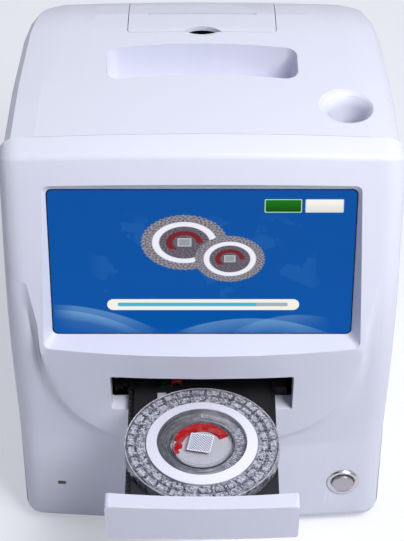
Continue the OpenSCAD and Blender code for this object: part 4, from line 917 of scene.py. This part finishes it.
class ANALYZER_OT_disc(bpy.types.Operator):
    """Finish the clear reagent disc and set its cells round the rim"""

    bl_idname = "analyzer.disc"
    bl_label = "Reagent Disc"

    def execute(self, context):
        sizes, colours = context.scene.analyzer_sizes, context.scene.analyzer_colours
        rim = (linear(104, 103, 122), linear(240, 240, 252))
        hub, annulus = linear(214, 212, 222), linear(104, 104, 114)
        # The last number given to disc_plastic is the strength of the painted shade on the disc's
        # left side
        paint(disc_plastic("base_clear", rim, hub, annulus, 0.25, 0.5), "disc_base")
        hub, annulus = linear(206, 205, 216), linear(172, 171, 182)
        paint(disc_plastic("cover_clear", rim, hub, annulus, 0.3, 0.62), "disc_cover")
        paint(chamber_film(), "disc_chamber")
        ring = moulded("ring_paper", linear(238, 237, 252), 0.5, 1800.0, 0.00001, 0.02, 0.04)
        paint(ring, "disc_ring_label")
        sample = moulded(
            "sample_red", colours.sample_red, 0.34, 500.0, 0.00003, 0.35, 0.1, ior=1.35
        )
        paint(sample, "disc_sample")
        paint(code_paper(), "disc_code_label")
        low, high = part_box("disc_base")
        middle = (low + high) / 2
        level = high.z + RIM_OVER_BASE
        channel_level = level - 0.0011
        light = cell_plastic("cell_light", linear(138, 137, 160), linear(246, 246, 255), 900.0)
        bright = cell_plastic("cell_bright", linear(196, 196, 216), linear(255, 255, 255), 1500.0)
        gap_shade = cell_plastic("cell_gap_shade", linear(70, 69, 86), linear(160, 159, 180), 900.0)
        cells = sizes.rim_cells
        outer, inner = 0.0366, 0.0323
        # Name, radius, count, size, material, seed, depth sunk and turn in shares of one cell
        rows = [
            ("outer_cells", outer, cells, (0.0030, 0.0056, 0.0007), light, 3, 0.0003, 0.5),
            ("inner_cells", inner, cells, (0.0025, 0.0045, 0.0007), light, 11, 0.0003, 0.5),
            # The gap rows are dark pieces of painted shade set between the cells
            ("outer_gaps", outer, cells, (0.0030, 0.0010, 0.0006), gap_shade, 17, 0.0002, 0.0),
            ("inner_gaps", inner, cells, (0.0026, 0.0011, 0.0006), gap_shade, 23, 0.0002, 0.0),
            ("middle_gaps", 0.0343, 2 * cells, (0.0008, 0.0022, 0.0006), gap_shade, 31, 0.0002, 0.25),
            # The glint rows are small bright pieces that paint glints on the cells
            ("outer_glints", 0.0369, 3 * cells, (0.0013, 0.0009, 0.0010), bright, 37, 0.0002, 0.1),
            ("inner_glints", 0.0321, 3 * cells, (0.0010, 0.0008, 0.0010), bright, 41, 0.0002, 0.7),
        ]
        for label, radius, count, size, material, seed, sink, shift in rows:
            name = f"disc_{label}"
            form = bevelled_block(name, *size, min(size) * 0.22)
            repeated(
                name, form, "round", "disc", "disc_cover", material,
                centre=(middle.x, middle.y, level - sink), count=count, radius=radius,
                start=(shift + 0.25) * 2 * math.pi / count,
                tip=sizes.cell_tip, spread=0.22, seed=seed,
            )
        teeth = bevelled_block("disc_channels", 0.0056, 0.0006, 0.0006, 0.00012)
        repeated(
            "disc_channels", teeth, "round", "disc", "disc_cover", light,
            centre=(middle.x, middle.y, channel_level), count=24, radius=0.0200,
            start=-0.93, sweep=1.5, tip=0.03, spread=0.1, seed=5,
        )
        # A small raised rib in the bright cell material: a painted highlight at the top of the
        # ring
        highlight_rib = bevelled_block("disc_highlight_rib", 0.0009, 0.0026, 0.0006, 0.00015)
        place = (middle.x, middle.y + 0.0204, channel_level)
        ride("disc_highlight_rib", highlight_rib, place, "disc", bright)
        section = [(0.0392, -0.0001), (0.0396, 0.00018), (0.03985, 0.0001), (0.0399, -0.0002)]
        lip = turned_ring("disc_lip", section, 96)
        smooth(lip, 35.0)
        ride("disc_lip", lip, (middle.x, middle.y, level), "disc", bright)
        return {"FINISHED"}


def code_paper():
    """A white label with an even check of small grey squares."""
    material, tree, shader = new_material("code_paper")
    low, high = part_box("disc_code_label")
    middle = (low + high) / 2
    local = tree.vector("SUBTRACT", tree.place(), tuple(middle))
    turned = tree.add(
        "ShaderNodeVectorRotate",
        {"Vector": local, "Angle": math.radians(11.0)},
        rotation_type="Z_AXIS",
    )
    # Off the lines of the check, so that no square flickers in the plane of the label
    shifted = tree.vector("ADD", turned, (0.00005, 0.00005, 0.00031))
    check = tree.add("ShaderNodeTexChecker", {"Vector": shifted, "Scale": 1400.0}, out=1)
    flat = tree.vector("MULTIPLY", turned, (1.0, 1.0, 0.0))
    gap = box_distance(tree, flat, (0.0, 0.0), (0.0056, 0.0056), 0.0002)
    inked = tree.times(check, edge(tree, gap, 0.0001))
    paper, ink = tint(236, 236, 244), tint(116, 124, 150)
    tree.put(shader.inputs["Base Color"], tree.mix(inked, paper, ink))
    tree.put(shader.inputs["Roughness"], tree.ramp(tree.noise(local, 900.0), 0.3, 0.7, 0.3, 0.5))
    return material


class ANALYZER_OT_printer(bpy.types.Operator):
    """Finish the printer under the lid"""

    bl_idname = "analyzer.printer"
    bl_label = "Printer"

    def execute(self, context):
        paint(moulded("bay_plastic", linear(150, 152, 162), 0.5, 1800.0), "paper_bay")
        mechanism = moulded("mechanism_plastic", linear(62, 64, 70), 0.45, 1500.0)
        paint(mechanism, "printer_mechanism")
        platen = moulded("platen_rubber", linear(36, 36, 40), 0.7, 1400.0, 0.00006)
        paint(platen, "platen_roller")
        paper = moulded("roll_paper", linear(244, 243, 238), 0.85, 1200.0, 0.00004, 0.05)
        paint(paper, "paper_roll")
        paint(metal("pin_steel", linear(200, 202, 208), 0.2, ALONG_Y), "lid_hinge_pin")
        return {"FINISHED"}


class ANALYZER_OT_connectors(bpy.types.Operator):
    """Finish the sockets and the fan at the rear"""

    bl_idname = "analyzer.connectors"
    bl_label = "Connectors"

    def execute(self, context):
        port = metal("port_steel", linear(190, 192, 198), 0.3, ALONG_X)
        paint(port, "usb_ports", "lan_port", "serial_port")
        inlet = moulded("inlet_plastic", linear(30, 30, 33), 0.45, 1500.0, 0.00005)
        paint(inlet, "power_inlet")
        fan = moulded("fan_plastic", linear(32, 32, 35), 0.4, 1500.0, 0.00004)
        paint(fan, "fan_frame", "fan_rotor")
        gold = metal("contact_gold", linear(226, 190, 112), 0.25, ALONG_Y, 0.05)
        black = moulded("socket_insulator", linear(26, 26, 29), 0.4, 1500.0)
        low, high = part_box("usb_ports")
        across, back = (low.x + high.x) / 2, high.y
        storey = 0.0066
        tongue = bevelled_block("usb_tongues", 0.0112, 0.0105, 0.0019, 0.0003)
        repeated(
            "usb_tongues", tongue, "row", "housing", "usb_ports", black,
            start=(across, back - 0.0085, low.z + 0.0036), step=(0.0, 0.0, storey), count=2,
        )
        strip = bevelled_block("usb_contacts", 0.0011, 0.0085, 0.00016, 0.00004, 1)
        for row in range(2):
            repeated(
                f"usb_contacts_{row + 1}", strip.copy(), "row", "housing", "usb_ports", gold,
                start=(across - 0.0036, back - 0.0082, low.z + 0.00348 + storey * row),
                step=(0.0024, 0.0, 0.0), count=4,
            )
        low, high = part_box("lan_port")
        wire = bevelled_block("network_contacts", 0.00045, 0.0095, 0.0004, 0.0001, 1)
        repeated(
            "network_contacts", wire, "row", "housing", "lan_port", gold,
            start=((low.x + high.x) / 2 - 0.00357, high.y - 0.0088, low.z + 0.0086),
            step=(0.00102, 0.0, 0.0), count=8,
        )
        low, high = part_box("serial_port")
        across, level = (low.x + high.x) / 2, (low.z + high.z) / 2
        pitch = 0.00277
        pin = bevelled_block("serial_pins", 0.00095, 0.0044, 0.00095, 0.0003)
        for row, (count, rise) in enumerate([(5, 0.0010), (4, -0.0019)]):
            repeated(
                f"serial_pins_{row + 1}", pin.copy(), "row", "housing", "serial_port", gold,
                start=(across - pitch * (count - 1) / 2, high.y - 0.0029, level + rise),
                step=(pitch, 0.0, 0.0), count=count,
            )
        return {"FINISHED"}


class ANALYZER_OT_works(bpy.types.Operator):
    """Finish the optics, the lift, the boards and the supply inside"""

    bl_idname = "analyzer.works"
    bl_label = "Works"

    def execute(self, context):
        dark = metal("anodised_black", linear(62, 64, 70), 0.45, (600.0, 600.0, 600.0), 0.05)
        paint(dark, "optical_bench", "detector_housing", "lamp_housing")
        paint(metal("heater_bronze", linear(176, 160, 132), 0.4, ALONG_X), "heater_plate")
        chamber = moulded("chamber_black", linear(30, 31, 35), 0.6, 1300.0, 0.00006)
        paint(chamber, "chamber_cover")
        paint(clear("lens_glass", linear(228, 238, 246), 0.02, 0.98), "lamp_lens")
        brass = metal("post_brass", linear(206, 190, 140), 0.3, ALONG_Z)
        paint(brass, "bench_posts", "board_spacers")
        steel = metal("bright_steel", linear(188, 190, 196), 0.28, ALONG_Z)
        paint(steel, "spindle_chuck", "spindle_motor")
        paint(steel, "lift_carriage", "lift_rods", "lift_actuator", "lift_bracket")
        paint(circuit_board("board_green", linear(24, 82, 46)), "mainboard", "detector_board")
        paint(metal("supply_case", linear(178, 180, 184), 0.4, ALONG_X), "power_supply")
        paint(moulded("speaker_cone", linear(40, 40, 44), 0.6, 1200.0, 0.00006), "speaker")
        return {"FINISHED"}


class ANALYZER_OT_stage(bpy.types.Operator):
    """Set the pale floor, the soft lights and the camera"""

    bl_idname = "analyzer.stage"
    bl_label = "Stage"

    def execute(self, context):
        scene = context.scene
        scene.view_settings.view_transform = "Standard"
        build_stage(scene.analyzer_sizes.floor_size / 2)
        build_world(scene)
        # Name, place, aim, size and power
        lights = [
            ("key_light", (0.50, -0.55, 1.05), (0.0, -0.05, 0.13), 0.5, 12.2),
            ("top_light", (0.3, 0.1, 1.9), (0.0, 0.0, 0.2), 1.2, 2.0),
            ("back_fill", (-0.9, 2.0, 1.2), (0.0, 0.0, 0.12), 1.8, 9.0),
        ]
        for name, place, aim, size, power in lights:
            lamp = bpy.data.lights.new(name, "AREA")
            lamp.size = size
            lamp.energy = power
            holder = bpy.data.objects.new(name, lamp)
            holder.location = place
            holder.visible_camera = False
            sight = Vector(aim) - Vector(place)
            holder.rotation_euler = sight.to_track_quat("-Z", "Y").to_euler()
            scene.collection.objects.link(holder)
        camera = bpy.data.objects.new("camera", bpy.data.cameras.new("camera"))
        camera.data.lens = CAMERA_LENS
        camera.data.sensor_width = CAMERA_SENSOR
        camera.location = CAMERA_PLACE
        camera.rotation_euler = Euler((CAMERA_PITCH, 0.0, 0.0))
        scene.collection.objects.link(camera)
        scene.camera = camera
        return {"FINISHED"}


def camera_rays(tree):
    """1 for camera, glossy and transmission rays, and 0 for plain light."""
    path = tree.add("ShaderNodeLightPath", out=None).outputs
    seen = tree.math("MAXIMUM", path["Is Camera Ray"], path["Is Glossy Ray"])
    return tree.math("MAXIMUM", seen, path["Is Transmission Ray"])


def build_stage(half):
    """A floor that sweeps up into a backdrop behind the analyzer."""
    back, bend, top, steps = half * 0.55, 0.8, 3.0, 8
    rows = [(-half, 0.0), (back, 0.0)]
    for i in range(1, steps + 1):
        a = math.radians(90.0 * i / steps)
        rows.append((back + bend * math.sin(a), bend * (1 - math.cos(a))))
    rows.append((back + bend, top))
    side = half * 1.5
    form = bmesh.new()
    pairs = [[form.verts.new((x, y, z)) for x in (-side, side)] for y, z in rows]
    for a, b in zip(pairs, pairs[1:]):
        form.faces.new([a[0], a[1], b[1], b[0]])
    mesh = bpy.data.meshes.new("floor")
    form.to_mesh(mesh)
    form.free()
    mesh.shade_smooth()
    floor = bpy.data.objects.new("floor", mesh)
    bpy.context.scene.collection.objects.link(floor)
    material, tree, shader = new_material("floor_paper")
    shader.inputs["Base Color"].default_value = tint(206, 207, 212)
    shader.inputs["Roughness"].default_value = 0.8
    # The floor stays pale to the camera where the lamps fall off
    shader.inputs["Emission Color"].default_value = tint(236, 237, 242)
    glow = tree.times(camera_rays(tree), FLOOR_GLOW)
    tree.put(shader.inputs["Emission Strength"], glow)
    mesh.materials.append(material)


def build_world(scene):
    """Even light all round, which the camera sees as a pale backdrop."""
    world = bpy.data.worlds.new("studio")
    world.use_nodes = True
    scene.world = world
    tree = Tree(world.node_tree)
    background = world.node_tree.nodes["Background"]
    seen = camera_rays(tree)
    colour = tree.mix(seen, tint(222, 226, 244), tint(232, 233, 238))
    tree.put(background.inputs["Color"], colour)
    strength = tree.math("MULTIPLY_ADD", seen, WORLD_GLOW, WORLD_LIGHT)
    tree.put(background.inputs["Strength"], strength)


class ANALYZER_PT_looks(bpy.types.Panel):
    """Steps that dress the analyzer"""

    bl_label = "Analyzer Looks"
    bl_idname = "ANALYZER_PT_looks"
    bl_space_type = "VIEW_3D"
    bl_region_type = "UI"
    bl_category = "Analyzer"

    def draw(self, context):
        for group_name in ("analyzer_sizes", "analyzer_colours"):
            settings = getattr(context.scene, group_name)
            for key in settings.__annotations__:
                self.layout.prop(settings, key)
        for step in STEPS:
            self.layout.operator(step.bl_idname)


STEPS = (
    ANALYZER_OT_housing,
    ANALYZER_OT_screen,
    ANALYZER_OT_controls,
    ANALYZER_OT_drawer,
    ANALYZER_OT_disc,
    ANALYZER_OT_printer,
    ANALYZER_OT_connectors,
    ANALYZER_OT_works,
    ANALYZER_OT_stage,
)
CLASSES = (AnalyzerSizes, AnalyzerColours, *STEPS, ANALYZER_PT_looks)


def register():
    for cls in CLASSES:
        bpy.utils.register_class(cls)
    bpy.types.Scene.analyzer_sizes = PointerProperty(type=AnalyzerSizes)
    bpy.types.Scene.analyzer_colours = PointerProperty(type=AnalyzerColours)


def unregister():
    del bpy.types.Scene.analyzer_colours
    del bpy.types.Scene.analyzer_sizes
    for cls in reversed(CLASSES):
        bpy.utils.unregister_class(cls)


def main():
    register()
    for step in STEPS:
        area, name = step.bl_idname.split(".")
        getattr(getattr(bpy.ops, area), name)()


if __name__ == "__main__":
    main()
